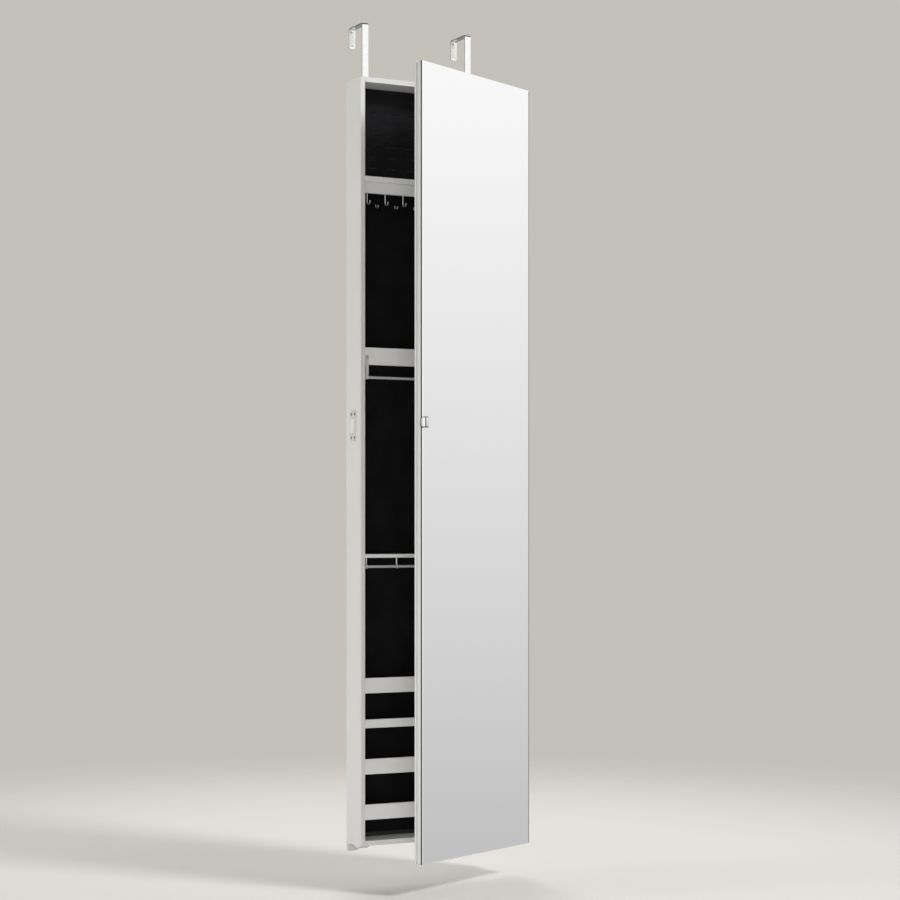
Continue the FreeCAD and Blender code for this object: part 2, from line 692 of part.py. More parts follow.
def front_hooks(q):
    """Wire hooks in the rail: straight shank, then a half turn forwards."""
    first = -q.hook_pitch * (FRONT_HOOKS - 1) / 2
    piece = Piece("front_hooks", (first, q.rail_front + q.rail_thick / 2, q.rail_bottom))
    route = piece.outline("YZ_Plane")
    shank = route.line((0, q.hook_seat), (0, -q.hook_drop))
    route.arc((-q.hook_bend, -q.hook_drop), q.hook_bend, (180, 360), (shank, 2), (2, 1),
              -q.hook_drop)
    section = piece.outline("XY_Plane", q.hook_seat)
    section.circle(0, 0, q.wire_radius)
    wire = sweep(piece, route, 2, section)
    ball = tip_ball(q, piece, -q.hook_bend * 2, -q.hook_drop)
    piece.pattern([wire, ball], "X_Axis", q.hook_pitch, FRONT_HOOKS)


def rear_hook_start(q):
    return -q.rear_hook_pitch * (REAR_HOOKS - 1) / 2


def rear_hooks(q):
    """Cup hooks in the lining: forwards, down, and round to an open cup."""
    piece = Piece("rear_hooks", (rear_hook_start(q), q.lining_front, q.bottom + q.rear_hook_level))
    route = piece.outline("YZ_Plane")
    reach = q.rear_hook_reach
    turn = q.rear_hook_turn
    cup = q.rear_hook_bend
    shank = route.line((q.rear_hook_seat, 0), (-reach, 0))
    bend = route.arc((-reach, -turn), turn, (90, 180), (shank, 2), (1, 2), -turn)
    route.arc((-reach - turn - cup, -turn), cup, (180, 360), (bend, 2), (2, 1), -turn)
    tip = -reach - turn - cup * 2
    section = piece.outline("XY_Plane", -turn)
    section.circle(0, tip, q.wire_radius)
    wire = sweep(piece, route, 3, section)
    ball = tip_ball(q, piece, tip, -turn)
    piece.pattern([wire, ball], "X_Axis", q.rear_hook_pitch, REAR_HOOKS)


def middle_shelf(q):
    """Shelf that carries the lower rod's hangers in holes on its underside."""
    piece = shelf(q, "middle_shelf", q.middle_shelf_level, q.middle_shelf)
    hole = piece.outline("XY_Plane")
    hole.circle(q.hanger_inset - q.half + q.shelf_half, q.upper_rod_y - q.shelf_front,
                q.hanger_stem_radius + q.pin_fit)
    cut = piece.pocket(hole, q.hanger_seat + q.pin_fit, reverse=True)
    piece.pattern([cut], "X_Axis", q.hanger_pitch, HANGERS)


def necklace_tray(q):
    """Deeper tray under the first necklaces; its lip carries the upper rod's brackets."""
    lip = tray(q, "necklace_tray", q.necklace_tray_level, q.necklace_base, q.necklace_lip,
               q.necklace_lip_thick, q.necklace_base_rise)
    holes = lip.outline("XZ_Plane")
    height = q.upper_rod_level + q.bracket_rise - q.bracket_screw_drop - q.necklace_tray_level
    for side in (-1, 1):
        holes.circle(q.inner + q.bracket_middle * side, height, q.screw_radius + q.pin_fit)
    lip.pocket(holes, q.necklace_lip_thick * 0.8)


def rod_bracket(q, label, side):
    """Strip on the lip of the necklace tray with a blind socket for the rod's end."""
    outer = (q.inner - q.bracket_side_gap) * side
    piece = Piece(label, (outer, q.upper_rod_y, q.bottom + q.upper_rod_level))
    socket_radius = q.upper_rod_radius + q.pin_fit + q.socket_wall
    strip_back = q.shelf_front - q.upper_rod_y
    inward = -side

    def along_rod(size):
        return size * inward

    strip = piece.outline("XZ_Plane", -strip_back)
    strip.rectangle(0, 0, along_rod(q.bracket_width), q.bracket_rise)
    piece.pad(strip, q.bracket_thick)
    socket = piece.outline("YZ_Plane", along_rod(q.bracket_width / 2))
    socket.circle(0, 0, socket_radius)
    piece.pad(socket, q.bracket_width, midplane=True)
    bore = piece.outline("YZ_Plane", along_rod(q.bracket_width))
    bore.circle(0, 0, q.upper_rod_radius + q.pin_fit)
    piece.pocket(bore, q.bracket_width - q.socket_end, reverse=side > 0)
    piece.round(q.bracket_width * 0.4, lambda a, b: along("y", a, b) and close(a.z, q.bracket_rise))
    screw = piece.outline("XZ_Plane", -strip_back)
    screw.circle(along_rod(q.bracket_width / 2), q.bracket_rise - q.bracket_screw_drop,
                 q.screw_radius + q.pin_fit)
    piece.pocket(screw, q.bracket_thick * 2, midplane=True)


def rod(q, label, level, radius, half_length):
    """Straight round rod across the box."""
    piece = Piece(label, (-half_length, q.upper_rod_y, q.bottom + level))
    outline = piece.outline("YZ_Plane")
    outline.circle(0, 0, radius)
    piece.pad(outline, half_length * 2)


def lower_rod_hangers(q):
    """Eyes on stems that hold the lower rod under the middle shelf."""
    piece = Piece("lower_rod_hangers", (q.hanger_inset - q.half, q.upper_rod_y,
                                        q.bottom + q.lower_rod_level))
    eye_radius = q.lower_rod_radius + q.pin_fit + q.socket_wall
    stem_foot = q.lower_rod_radius + q.pin_fit + q.socket_wall / 2
    eye = piece.outline("YZ_Plane")
    eye.circle(0, 0, eye_radius)
    eye.circle(0, 0, q.lower_rod_radius + q.pin_fit)
    ring = piece.pad(eye, q.hanger_width, midplane=True)
    stem = piece.outline("XY_Plane", stem_foot)
    stem.circle(0, 0, q.hanger_stem_radius)
    reach = q.middle_shelf_level - q.lower_rod_level + q.hanger_seat - stem_foot
    post = piece.pad(stem, reach)
    piece.pattern([ring, post], "X_Axis", q.hanger_pitch, HANGERS)


# The over-door hooks ----------------------------------------------------------------------------

def door_hook(q, label, middle):
    """Steel strip bent over the top of the room door, let into the back and screwed to it."""
    piece = Piece(label, (middle - q.strap_width / 2, -q.strap, q.top))
    outer = q.strap * 2 + q.hook_gap
    outline = piece.outline("YZ_Plane")
    outline.polygon([
        (0, -q.strap_lap),
        (q.strap, -q.strap_lap),
        (q.strap, q.strap_rise - q.strap),
        (outer - q.strap, q.strap_rise - q.strap),
        (outer - q.strap, q.strap_rise - q.hook_tab),
        (outer, q.strap_rise - q.hook_tab),
        (outer, q.strap_rise),
        (0, q.strap_rise),
    ])
    piece.pad(outline, q.strap_width)
    piece.round(q.strap_bend, lambda a, b: along("x", a, b) and close(a.z, q.strap_rise))
    piece.round(q.strap_bend - q.strap,
                lambda a, b: along("x", a, b) and close(a.z, q.strap_rise - q.strap))
    piece.round(q.strap_corner, lambda a, b: along("y", a, b)
                and (close(a.z, -q.strap_lap) or close(a.z, q.strap_rise - q.hook_tab)))
    places = []
    for step in (0, 1):
        level = -q.strap_screw_first - q.strap_screw_pitch * step
        places.append((q.strap_width / 2, level))
    countersink(q, piece, "XZ_Plane", -q.strap, places, reverse=True)


def hook_pads(q):
    """Foam pads on the tabs, towards the room door."""
    back = q.hook_gap
    low = q.top + q.strap_rise - q.hook_tab + (q.hook_tab - q.strap - q.hook_pad_height) / 2
    piece = Piece("hook_pads", (q.left_hook_x - q.hook_pad_width / 2, back, low))
    outline = piece.outline("XZ_Plane")
    outline.rectangle(0, 0, q.hook_pad_width, q.hook_pad_height)
    pad = piece.pad(outline, q.hook_pad)
    piece.pattern([pad], "X_Axis", q.right_hook_x - q.left_hook_x, 2)


# Screws and countersinks ------------------------------------------------------------------------

def countersink(q, piece, role, offset, places, reverse=False):
    """Countersunk screw holes right through a piece, from a plane."""
    outline = piece.outline(role, offset)
    for x, y in places:
        outline.circle(x, y, q.screw_radius + q.pin_fit)
    piece.doc.recompute()
    hole = piece.feature("Hole", outline.sketch)
    piece.doc.recompute()
    hole.Reversed = reverse
    hole.DepthType = "ThroughAll"
    hole.HoleCutType = "Countersink"
    hole.HoleCutCustomValues = True
    flare = (q.screw_head_radius - q.screw_radius) / q.screw_head
    angle = Size(2 * math.degrees(math.atan(flare.value)), "(2 * atan(%s))" % flare.text)
    bind(hole, "Diameter", (q.screw_radius + q.pin_fit) * 2)
    bind(hole, "HoleCutDiameter", (q.screw_head_radius + q.pin_fit) * 2)
    bind(hole, "HoleCutCountersinkAngle", angle)


def sunk_profile(q, length):
    """Half section of a countersunk screw as (radius, step) pairs; the sign is the way it points."""
    head = q.screw_head if length.value > 0 else -q.screw_head
    return [(0, 0), (q.screw_head_radius, 0), (q.screw_radius, head), (q.screw_radius, length),
            (0, length)]


def pan_profile(q, length):
    """Half section of a screw whose head stands on the surface."""
    return [(0, 0), (q.screw_head_radius * 0.7, 0), (q.screw_head_radius, q.screw_head * 0.6),
            (q.screw_head_radius, q.screw_head), (q.screw_radius, q.screw_head),
            (q.screw_radius, length), (0, length)]


def screws(label, at, axis, profile, copies):
    """Identical screws along an axis of the cabinet, with their heads at the origin."""
    piece = Piece(label, at)
    if axis == "X":
        outline = piece.outline("XY_Plane")
        outline.polygon([(step, radius) for radius, step in profile])
    else:
        outline = piece.outline("XY_Plane" if axis == "Y" else "XZ_Plane")
        outline.polygon(profile)
    screw = piece.revolve(outline, axis + "_Axis")
    piece.pattern([screw], *copies)


def all_screws(q):
    """Screws of the box, one group for each place of use."""
    screws("hook_screws",
           (q.left_hook_x, 0, q.top - q.strap_screw_first - q.strap_screw_pitch),
           "Y", sunk_profile(q, -(q.strap + q.back_screw)),
           ("X_Axis", q.right_hook_x - q.left_hook_x, 2, "Z_Axis", q.strap_screw_pitch, 2))
    screws("side_plate_screws",
           (-(q.half + q.side_plate_thick), q.side_plate_y - q.plate_screw_width / 2,
            q.side_plate_z - q.plate_screw_height / 2),
           "X", sunk_profile(q, q.plate_screw_length),
           ("Y_Axis", q.plate_screw_width, 2, "Z_Axis", q.plate_screw_height, 2))
    screws("rod_bracket_screws",
           (-q.bracket_middle, q.shelf_front - q.bracket_thick - q.screw_head,
            q.bottom + q.upper_rod_level + q.bracket_rise - q.bracket_screw_drop),
           "Y", pan_profile(q, q.screw_head + q.bracket_thick + q.necklace_lip_thick * 0.75),
           ("X_Axis", q.bracket_middle * 2, 2))
    screws("catch_screws",
           (q.catch_x - q.catch_screw_pitch / 2, q.catch_front + q.catch_depth / 2,
            q.ceiling - q.catch_height),
           "Z", sunk_profile(q, q.catch_height + q.board * 0.55),
           ("X_Axis", q.catch_screw_pitch, 2))


# The side plate ---------------------------------------------------------------------------------

def side_plate(q):
    """Rounded plate with a slot on the outside of the left board."""
    piece = Piece("side_plate", (-q.half, q.side_plate_y, q.side_plate_z))
    outline = piece.outline("YZ_Plane", -q.side_plate_thick)
    outline.rectangle(-q.side_plate_width / 2, -q.side_plate_height / 2,
                      q.side_plate_width / 2, q.side_plate_height / 2)
    piece.pad(outline, q.side_plate_thick)
    slot = piece.outline("YZ_Plane")
    slot.rectangle(-q.plate_slot_width / 2, -q.plate_slot_height / 2,
                   q.plate_slot_width / 2, q.plate_slot_height / 2)
    piece.pocket(slot, q.side_plate_thick)
    piece.round(q.side_plate_corner,
                lambda a, b: along("x", a, b) and close(abs(a.z), q.side_plate_height / 2))
    piece.round(q.plate_slot_corner,
                lambda a, b: along("x", a, b) and close(abs(a.z), q.plate_slot_height / 2))
    places = []
    for y in (-1, 1):
        for z in (-1, 1):
            places.append((q.plate_screw_width / 2 * y, q.plate_screw_height / 2 * z))
    countersink(q, piece, "YZ_Plane", -q.side_plate_thick, places, reverse=True)


def side_plate_insert(q):
    """Block that fills the slot of the side plate."""
    width = q.plate_slot_width / 2 - q.plate_insert_gap
    height = q.plate_slot_height / 2 - q.plate_insert_gap
    piece = Piece("side_plate_insert", (-q.half, q.side_plate_y, q.side_plate_z))
    outline = piece.outline("YZ_Plane", -q.plate_insert_thick)
    outline.rectangle(-width, -height, width, height)
    piece.pad(outline, q.plate_insert_thick)
    piece.round(q.plate_slot_corner, lambda a, b: along("x", a, b))


# Hinges -----------------------------------------------------------------------------------------

def hinge_levels(q):
    return (q.low_hinge_level, q.middle_hinge_level, q.high_hinge_level)


def hinge_leaf(q, label, level, door):
    """Half of a butt hinge: a leaf flat on its board, with every other knuckle of the barrel."""
    side = -1 if door else 1
    low = q.bottom + level - q.hinge_height / 2
    piece = Piece(label, (q.axis_x, q.axis_y, low), q.open_angle if door else None)
    leaf_in = -q.hinge_out + q.hinge_leaf
    leaf_start = (q.knuckle_radius + q.hinge_leaf_clear) * side
    pitch = q.hinge_height / KNUCKLES
    own_first = 1 if door else 0
    own_count = KNUCKLES // 2 if door else KNUCKLES // 2 + 1
    leaf = piece.outline("XY_Plane")
    leaf.rectangle(-q.hinge_out, leaf_start, leaf_in, q.hinge_leaf_width * side)
    piece.pad(leaf, q.hinge_height - q.hinge_knuckle_gap)
    for number in range(own_count):
        offset = pitch * (own_first + number * 2)
        barrel = piece.outline("XY_Plane", offset)
        barrel.circle(0, 0, q.knuckle_radius)
        piece.pad(barrel, pitch - q.hinge_knuckle_gap)
        tongue = piece.outline("XY_Plane", offset)
        tongue.rectangle(-q.hinge_out, 0, leaf_in, leaf_start)
        piece.pad(tongue, pitch - q.hinge_knuckle_gap)
    fit = q.hinge_bore_fit if door else q.pin_fit / 2
    bore = piece.outline("XY_Plane", q.hinge_height)
    bore.circle(0, 0, q.hinge_pin_radius + fit)
    piece.pocket(bore, q.hinge_height)
    middle = q.hinge_height / 2
    places = []
    for z in (-1, 1):
        places.append((q.hinge_screw_in * side, middle + q.hinge_screw_pitch / 2 * z))
    piece.round(q.hinge_leaf, lambda a, b: along("x", a, b)
                and close(a.y, q.hinge_leaf_width * side))
    countersink(q, piece, "YZ_Plane", leaf_in, places)


def hinge_pins(q):
    """Three pins with flat heads above the top knuckles."""
    low = q.bottom + q.low_hinge_level - q.hinge_height / 2
    piece = Piece("hinge_pins", (q.axis_x, q.axis_y, low))
    outline = piece.outline("XZ_Plane")
    top = q.hinge_height - q.hinge_knuckle_gap
    outline.polygon([
        (0, 0),
        (q.hinge_pin_radius, 0),
        (q.hinge_pin_radius, top),
        (q.knuckle_radius * 0.9, top),
        (q.knuckle_radius * 0.6, top + q.hinge_head),
        (0, top + q.hinge_head),
    ])
    pin = piece.revolve(outline, "Z_Axis")
    piece.pattern([pin], "Z_Axis", q.middle_hinge_level - q.low_hinge_level, HINGES)


def hinge_screws(q, label, door):
    """Two screws in each leaf, on the box or on the door."""
    at = (q.axis_x - q.hinge_out + q.hinge_leaf, q.axis_y + q.hinge_screw_in,
          q.bottom + q.low_hinge_level - q.hinge_screw_pitch / 2)
    copies = ("Z_Axis", q.hinge_screw_pitch, 2, "Z_Axis",
              q.middle_hinge_level - q.low_hinge_level, HINGES)
    if not door:
        screws(label, at, "X", sunk_profile(q, -q.hinge_screw_length), copies)
        return
    piece = Piece(label, (q.axis_x, q.axis_y, at[2]), q.open_angle)
    outer = -q.hinge_out + q.hinge_leaf
    middle = -q.hinge_screw_in
    outline = piece.outline("XY_Plane")
    outline.polygon([
        (outer, middle),
        (outer, middle + q.screw_head_radius),
        (outer - q.screw_head, middle + q.screw_radius),
        (outer - q.hinge_screw_length, middle + q.screw_radius),
        (outer - q.hinge_screw_length, middle),
    ])
    screw = piece.feature("Revolution", outline.sketch)
    screw.ReferenceAxis = (outline.sketch, ["Edge5"])
    screw.Angle = 360
    piece.pattern([screw], *copies)


# The catch --------------------------------------------------------------------------------------

def magnetic_catch(q):
    """Housing under the top board with a cavity for the magnet block."""
    low = q.ceiling - q.catch_height
    piece = box_piece("magnetic_catch", (q.catch_x - q.catch_length / 2, q.catch_front, low),
                      (q.catch_x + q.catch_length / 2, q.catch_front + q.catch_depth, q.ceiling))
    piece.round(q.edge_round, lambda a, b: close(a.z, 0) and close(b.z, 0))
    cavity = piece.outline("XZ_Plane")
    margin = q.pin_fit
    cavity.rectangle((q.catch_length - q.magnet_length) / 2 - margin,
                     q.strike_low - margin,
                     (q.catch_length + q.magnet_length) / 2 + margin,
                     q.strike_low + q.magnet_height + margin)
    piece.pocket(cavity, q.magnet_depth - q.magnet_proud)
    places = []
    for side in (-1, 1):
        places.append((q.catch_length / 2 + q.catch_screw_pitch / 2 * side, q.catch_depth / 2))
    countersink(q, piece, "XY_Plane", 0, places, reverse=True)


def catch_magnet(q):
    """Magnet block with its pole faces just in front of the housing."""
    low = q.ceiling - q.catch_height + q.strike_low
    box_piece("catch_magnet",
              (q.catch_x - q.magnet_length / 2, q.catch_front - q.magnet_proud, low),
              (q.catch_x + q.magnet_length / 2, q.catch_front + q.magnet_depth - q.magnet_proud,
               low + q.magnet_height))


# The door ---------------------------------------------------------------------------------------

def door_piece(q, label, level=0):
    """Piece drawn about the hinge axis with the door closed, then turned open."""
    return Piece(label, (q.axis_x, q.axis_y, level), q.open_angle)


def door_panel(q):
    """Door board with a shallow groove round its three free edges."""
    piece = door_piece(q, "door_panel")
    low = q.bottom - q.door_below
    high = q.top + q.door_above
    outline = piece.outline("XZ_Plane", -q.door_back)
    outline.rectangle(q.door_edge, low, -q.hinge_out, high)
    piece.pad(outline, q.door_board)
    piece.round(q.edge_round, lambda a, b: close(a.y, q.door_back) and close(b.y, q.door_back))
    groove = piece.outline("XZ_Plane", -(q.door_back + q.door_front) / 2)
    deep = q.edge_groove_depth
    groove.polygon([
        (q.door_edge - deep, low - deep),
        (-q.hinge_out + deep, low - deep),
        (-q.hinge_out + deep, low + deep),
        (q.door_edge + deep, low + deep),
        (q.door_edge + deep, high - deep),
        (-q.hinge_out + deep, high - deep),
        (-q.hinge_out + deep, high + deep),
        (q.door_edge - deep, high + deep),
    ])
    piece.pocket(groove, q.edge_groove_width, midplane=True)
    holes = piece.outline("YZ_Plane", -q.hinge_out)
    for level in hinge_levels(q):
        for z in (-1, 1):
            holes.circle(-q.hinge_screw_in, q.bottom + level + q.hinge_screw_pitch / 2 * z,
                         q.screw_radius + q.pin_fit)
    piece.pocket(holes, q.hinge_screw_length - q.hinge_leaf + q.pin_fit)
    countersink(q, piece, "XZ_Plane", -q.door_back, [(q.pull_screw_x, q.side_plate_z)],
                reverse=True)
    strike = piece.outline("XZ_Plane", -q.door_back)
    strike.circle(q.catch_x - q.axis_x, q.strike_z, q.screw_radius + q.pin_fit)
    piece.pocket(strike, q.door_board / 2, reverse=True)


def mirror_glass(q):
    """Mirror over the whole front of the door, with a narrow bevel."""
    piece = door_piece(q, "mirror_glass")
    low = q.bottom - q.door_below
    high = q.top + q.door_above
    flat = piece.outline("XZ_Plane", -q.door_front)
    flat.rectangle(q.door_edge, low, -q.hinge_out, high)
    piece.pad(flat, q.glass - q.glass_bevel_depth)
    foot = piece.outline("XZ_Plane", -q.door_front + q.glass - q.glass_bevel_depth)
    foot.rectangle(q.door_edge, low, -q.hinge_out, high)
    face = piece.outline("XZ_Plane", -q.door_front + q.glass)
    bevel = q.glass_bevel_width
    face.rectangle(q.door_edge + bevel, low + bevel, -q.hinge_out - bevel, high - bevel)
    loft = piece.feature("AdditiveLoft", foot.sketch)
    loft.Sections = [face.sketch]
    loft.Ruled = True
    hole = piece.outline("XZ_Plane", -q.door_front)
    hole.circle(q.pull_screw_x, q.side_plate_z, q.screw_radius + q.pin_fit)
    piece.pocket(hole, q.glass * 2, midplane=True)


def door_pull(q):
    """Chrome pull at the free edge: a rounded block on the glass and a lug over the door's edge."""
    piece = door_piece(q, "door_pull", q.side_plate_z)
    face = -q.door_front + q.glass
    outer = q.door_edge - q.pull_edge_fit - q.pull_wrap_thick
    half = q.pull_height / 2
    head = piece.outline("YZ_Plane", outer)
    head.rectangle(-face - q.pull_proud, -half, -face, half)
    piece.pad(head, q.pull_width)
    piece.round(q.pull_corner, lambda a, b: along("x", a, b))
    piece.round(q.pull_end, lambda a, b: close(a.x, outer + q.pull_width)
                and close(b.x, outer + q.pull_width))
    piece.round(q.edge_round, lambda a, b: close(a.x, outer) and close(b.x, outer))
    lug = piece.outline("XZ_Plane", face - q.pull_wrap)
    lug.rectangle(outer, -half, outer + q.pull_wrap_thick, half)
    piece.pad(lug, q.pull_wrap + q.pull_corner)
    piece.round(q.pull_corner * 0.7, lambda a, b: along("x", a, b)
                and close(a.y, -face + q.pull_wrap))
    hole = piece.outline("XZ_Plane", face)
    hole.circle(q.pull_screw_x, 0, q.screw_radius + q.pin_fit)
    piece.pocket(hole, q.pull_proud * 0.7, reverse=True)


def pull_screw(q):
    """Screw from the back of the door into the pull."""
    at_y = q.door_back
    piece = door_piece(q, "pull_screw", q.side_plate_z)
    length = q.door_board + q.glass + q.pull_proud * 0.6
    door_screw(q, piece, q.pull_screw_x, at_y, length)


def door_screw(q, piece, x, back, length):
    """Countersunk screw with its head at the back of the door, pointing forwards."""
    outline = piece.outline("XY_Plane")
    outline.polygon([
        (x, back),
        (x + q.screw_head_radius, back),
        (x + q.screw_radius, back - q.screw_head),
        (x + q.screw_radius, back - length),
        (x, back - length),
    ])
    screw = piece.feature("Revolution", outline.sketch)
    screw.ReferenceAxis = (outline.sketch, ["Edge5"])
    screw.Angle = 360


def strike_plate(q):
    """Steel plate on the back of the door for the magnet."""
    piece = door_piece(q, "strike_plate", q.strike_z)
    middle = q.catch_x - q.axis_x
    outline = piece.outline("XZ_Plane", -q.door_back - q.strike_thick)
    outline.rectangle(middle - q.strike_length / 2, -q.strike_height / 2,
                      middle + q.strike_length / 2, q.strike_height / 2)
    piece.pad(outline, q.strike_thick)
    piece.round(q.strike_thick, lambda a, b: along("y", a, b))
    countersink(q, piece, "XZ_Plane", -q.door_back - q.strike_thick, [(middle, 0)], reverse=True)


def strike_screw(q):
    """Screw that holds the strike plate."""
    piece = door_piece(q, "strike_screw", q.strike_z)
    door_screw(q, piece, q.catch_x - q.axis_x, q.door_back + q.strike_thick, q.door_board / 2)


def door_buffers(q):
    """Two clear buffers that meet the front edge of the left board."""
    low = q.bottom + q.buffer_edge * 4
    piece = door_piece(q, "door_buffers", low)
    outline = piece.outline("XZ_Plane", -q.door_back - q.buffer_thick)
    outline.circle(q.door_edge + q.buffer_edge, 0, q.buffer_radius)
    buffer = piece.pad(outline, q.buffer_thick)
    piece.pattern([buffer], "Z_Axis", q.box_height - q.buffer_edge * 8, 2)


# Below the box ----------------------------------------------------------------------------------

def lower_bumpers(q):
    """Blocks under the rear corners that keep the box upright against the room door."""
    piece = Piece("lower_bumpers", (-q.half, -q.bumper_length, q.bottom - q.bumper_height))
    outline = piece.outline("XY_Plane")
    for x in (0, q.box_width - q.bumper_width):
        outline.rectangle(x, 0, q.bumper_width + x, q.bumper_length)
    piece.pad(outline, q.bumper_height)
    piece.round(q.bumper_round, lambda a, b: close(a.z, 0) and close(b.z, 0))


def lower_feet(q):
    """Pointed feet under the sides, in front of the bumpers."""
    piece = Piece("lower_feet", (-q.half, 0, q.bottom))
    outline = piece.outline("YZ_Plane")
    outline.polygon([
        (-q.foot_front, 0),
        (-q.foot_tip - q.foot_tip_width / 2, -q.foot_height),
        (-q.foot_tip + q.foot_tip_width / 2, -q.foot_height),
        (-q.foot_back, 0),
    ])
    foot = piece.pad(outline, q.bumper_width)
    piece.pattern([foot], "X_Axis", q.box_width - q.bumper_width, 2)


# The whole cabinet ------------------------------------------------------------------------------

def make_box(q):
    side_panel(q, "left_side_panel", -1)
    side_panel(q, "right_side_panel", 1)
    end_panel(q, "top_panel", 1)
    end_panel(q, "bottom_panel", -1)
    panel_dowels(q)
    back_panel(q)
    back_lining(q)
    lower_bumpers(q)
    lower_feet(q)


def make_inside(q):
    earring_pad(q)
    shelf(q, "upper_shelf", q.upper_shelf_level, q.upper_shelf)
    hook_rail(q)
    front_hooks(q)
    rear_hooks(q)
    necklace_tray(q)
    rod_bracket(q, "left_rod_bracket", -1)
    rod_bracket(q, "right_rod_bracket", 1)
    rod(q, "upper_rod", q.upper_rod_level, q.upper_rod_radius,
        q.inner - q.bracket_side_gap - q.socket_end - q.rod_end_fit)
    middle_shelf(q)
    lower_rod_hangers(q)
    rod(q, "lower_rod", q.lower_rod_level, q.lower_rod_radius, q.inner - q.bracket_side_gap)
    tray(q, "tray_1", q.tray_1_level, q.tray_base, q.tray_lip, q.tray_lip_thick)
    tray(q, "tray_2", q.tray_2_level, q.tray_base, q.tray_2_lip, q.tray_lip_thick)
    tray(q, "tray_3", q.tray_3_level, q.tray_base, q.tray_lip, q.tray_lip_thick)
    tray(q, "tray_4", q.tray_4_level, q.tray_base, q.tray_lip, q.tray_lip_thick)
    tray_liners(q)


def make_hardware(q):
    door_hook(q, "left_door_hook", q.left_hook_x)
    door_hook(q, "right_door_hook", q.right_hook_x)
    hook_pads(q)
    side_plate(q)
    side_plate_insert(q)
    magnetic_catch(q)
    catch_magnet(q)
    all_screws(q)
    for name, level in zip(("lower", "middle", "upper"), hinge_levels(q)):
        hinge_leaf(q, name + "_hinge_box_leaf", level, False)
        hinge_leaf(q, name + "_hinge_door_leaf", level, True)
    hinge_pins(q)
    hinge_screws(q, "box_hinge_screws", False)
    hinge_screws(q, "door_hinge_screws", True)


def make_door(q):
    door_panel(q)
    mirror_glass(q)
    door_pull(q)
    pull_screw(q)
    strike_plate(q)
    strike_screw(q)
    door_buffers(q)


def check_and_write(doc):
    """Stops on any failed object, then writes one file for each body."""
    for item in doc.Objects:
        if "Invalid" in item.State or "Error" in item.State:
            raise RuntimeError("%s failed: %s" % (item.Label, item.State))
    bodies = [item for item in doc.Objects if item.isDerivedFrom("PartDesign::Body")]
    for body in bodies:
        if body.Shape.isNull() or not body.Shape.isValid():
            raise RuntimeError("bad shape: " + body.Label)
    os.makedirs("parts", exist_ok=True)
    for body in bodies:
        body.Shape.exportStep("parts/%s.step" % body.Label)
        print("%-26s %2d solids %12.1f mm3" % (body.Label, len(body.Shape.Solids), body.Shape.Volume))
    print(len(bodies), "nodes")


def main():
    doc = FreeCAD.newDocument("cabinet")
    q = make_sheet(doc)
    shared_places(q)
    make_box(q)
    make_inside(q)
    make_hardware(q)
    make_door(q)
    doc.recompute()
    check_and_write(doc)


main()
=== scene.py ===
import json
import math

import bmesh
import bpy
from mathutils import Matrix, Vector

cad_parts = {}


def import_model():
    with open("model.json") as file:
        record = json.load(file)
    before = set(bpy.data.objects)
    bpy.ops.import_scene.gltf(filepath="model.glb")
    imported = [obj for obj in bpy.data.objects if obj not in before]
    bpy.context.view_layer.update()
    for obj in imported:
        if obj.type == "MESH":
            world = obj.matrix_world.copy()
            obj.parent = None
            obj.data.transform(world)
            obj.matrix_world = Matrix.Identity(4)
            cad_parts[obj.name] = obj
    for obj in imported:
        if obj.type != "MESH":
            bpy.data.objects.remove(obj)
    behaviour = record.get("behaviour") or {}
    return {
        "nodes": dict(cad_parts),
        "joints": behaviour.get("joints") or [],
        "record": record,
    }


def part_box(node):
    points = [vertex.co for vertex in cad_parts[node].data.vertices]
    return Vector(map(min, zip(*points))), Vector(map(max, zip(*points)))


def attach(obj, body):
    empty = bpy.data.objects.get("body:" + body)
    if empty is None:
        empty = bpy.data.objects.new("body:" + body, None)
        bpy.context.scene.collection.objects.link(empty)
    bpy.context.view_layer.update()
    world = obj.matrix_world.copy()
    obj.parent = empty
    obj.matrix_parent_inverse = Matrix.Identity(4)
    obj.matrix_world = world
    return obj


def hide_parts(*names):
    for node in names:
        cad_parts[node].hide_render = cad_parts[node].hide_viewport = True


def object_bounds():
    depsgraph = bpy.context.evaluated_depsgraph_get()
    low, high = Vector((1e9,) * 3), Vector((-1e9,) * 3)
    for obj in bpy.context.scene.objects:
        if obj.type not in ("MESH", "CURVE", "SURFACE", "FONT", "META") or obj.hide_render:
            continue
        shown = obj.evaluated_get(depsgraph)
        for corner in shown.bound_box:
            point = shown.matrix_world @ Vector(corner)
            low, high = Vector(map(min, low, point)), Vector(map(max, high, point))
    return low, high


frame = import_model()

# Looks of the over-the-door jewelry cabinet. Metres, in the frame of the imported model:
# +X to the hinge side, +Y to the back, +Z up, origin at the centre of the cabinet's rear face.

MM = 0.001
CAD_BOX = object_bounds()
CABINET = "cabinet"
DOOR = "door"

# The door's rest angle is the closed end of its joint's range, counted backwards.
DOOR_OPEN = math.radians(-frame["joints"][0]["range_deg"][0])
DOOR_FRONT = Matrix.Rotation(DOOR_OPEN, 3, "Z") @ Vector((0, -1, 0))
DOOR_SIDE = Matrix.Rotation(DOOR_OPEN, 3, "Z") @ Vector((1, 0, 0))
UP = Vector((0, 0, 1))

# The photograph is a level view: its eye point, heading and framing in this frame.
EYE = Vector((-2.0573, -3.9416, -0.1330))
HEADING = math.radians(28.15)
LENS_MM = 87.0
SENSOR_MM = 36.0
SHIFT_UP = 0.08726
CLIP_END = 100

FLOOR_BELOW = 0.065
FLOOR_RADIUS = 12
FLOOR = (0.86, 0.84, 0.80)
FADE_FROM, FADE_TO = 0.55, 2.6
BACKGROUND = (0.550, 0.532, 0.490)

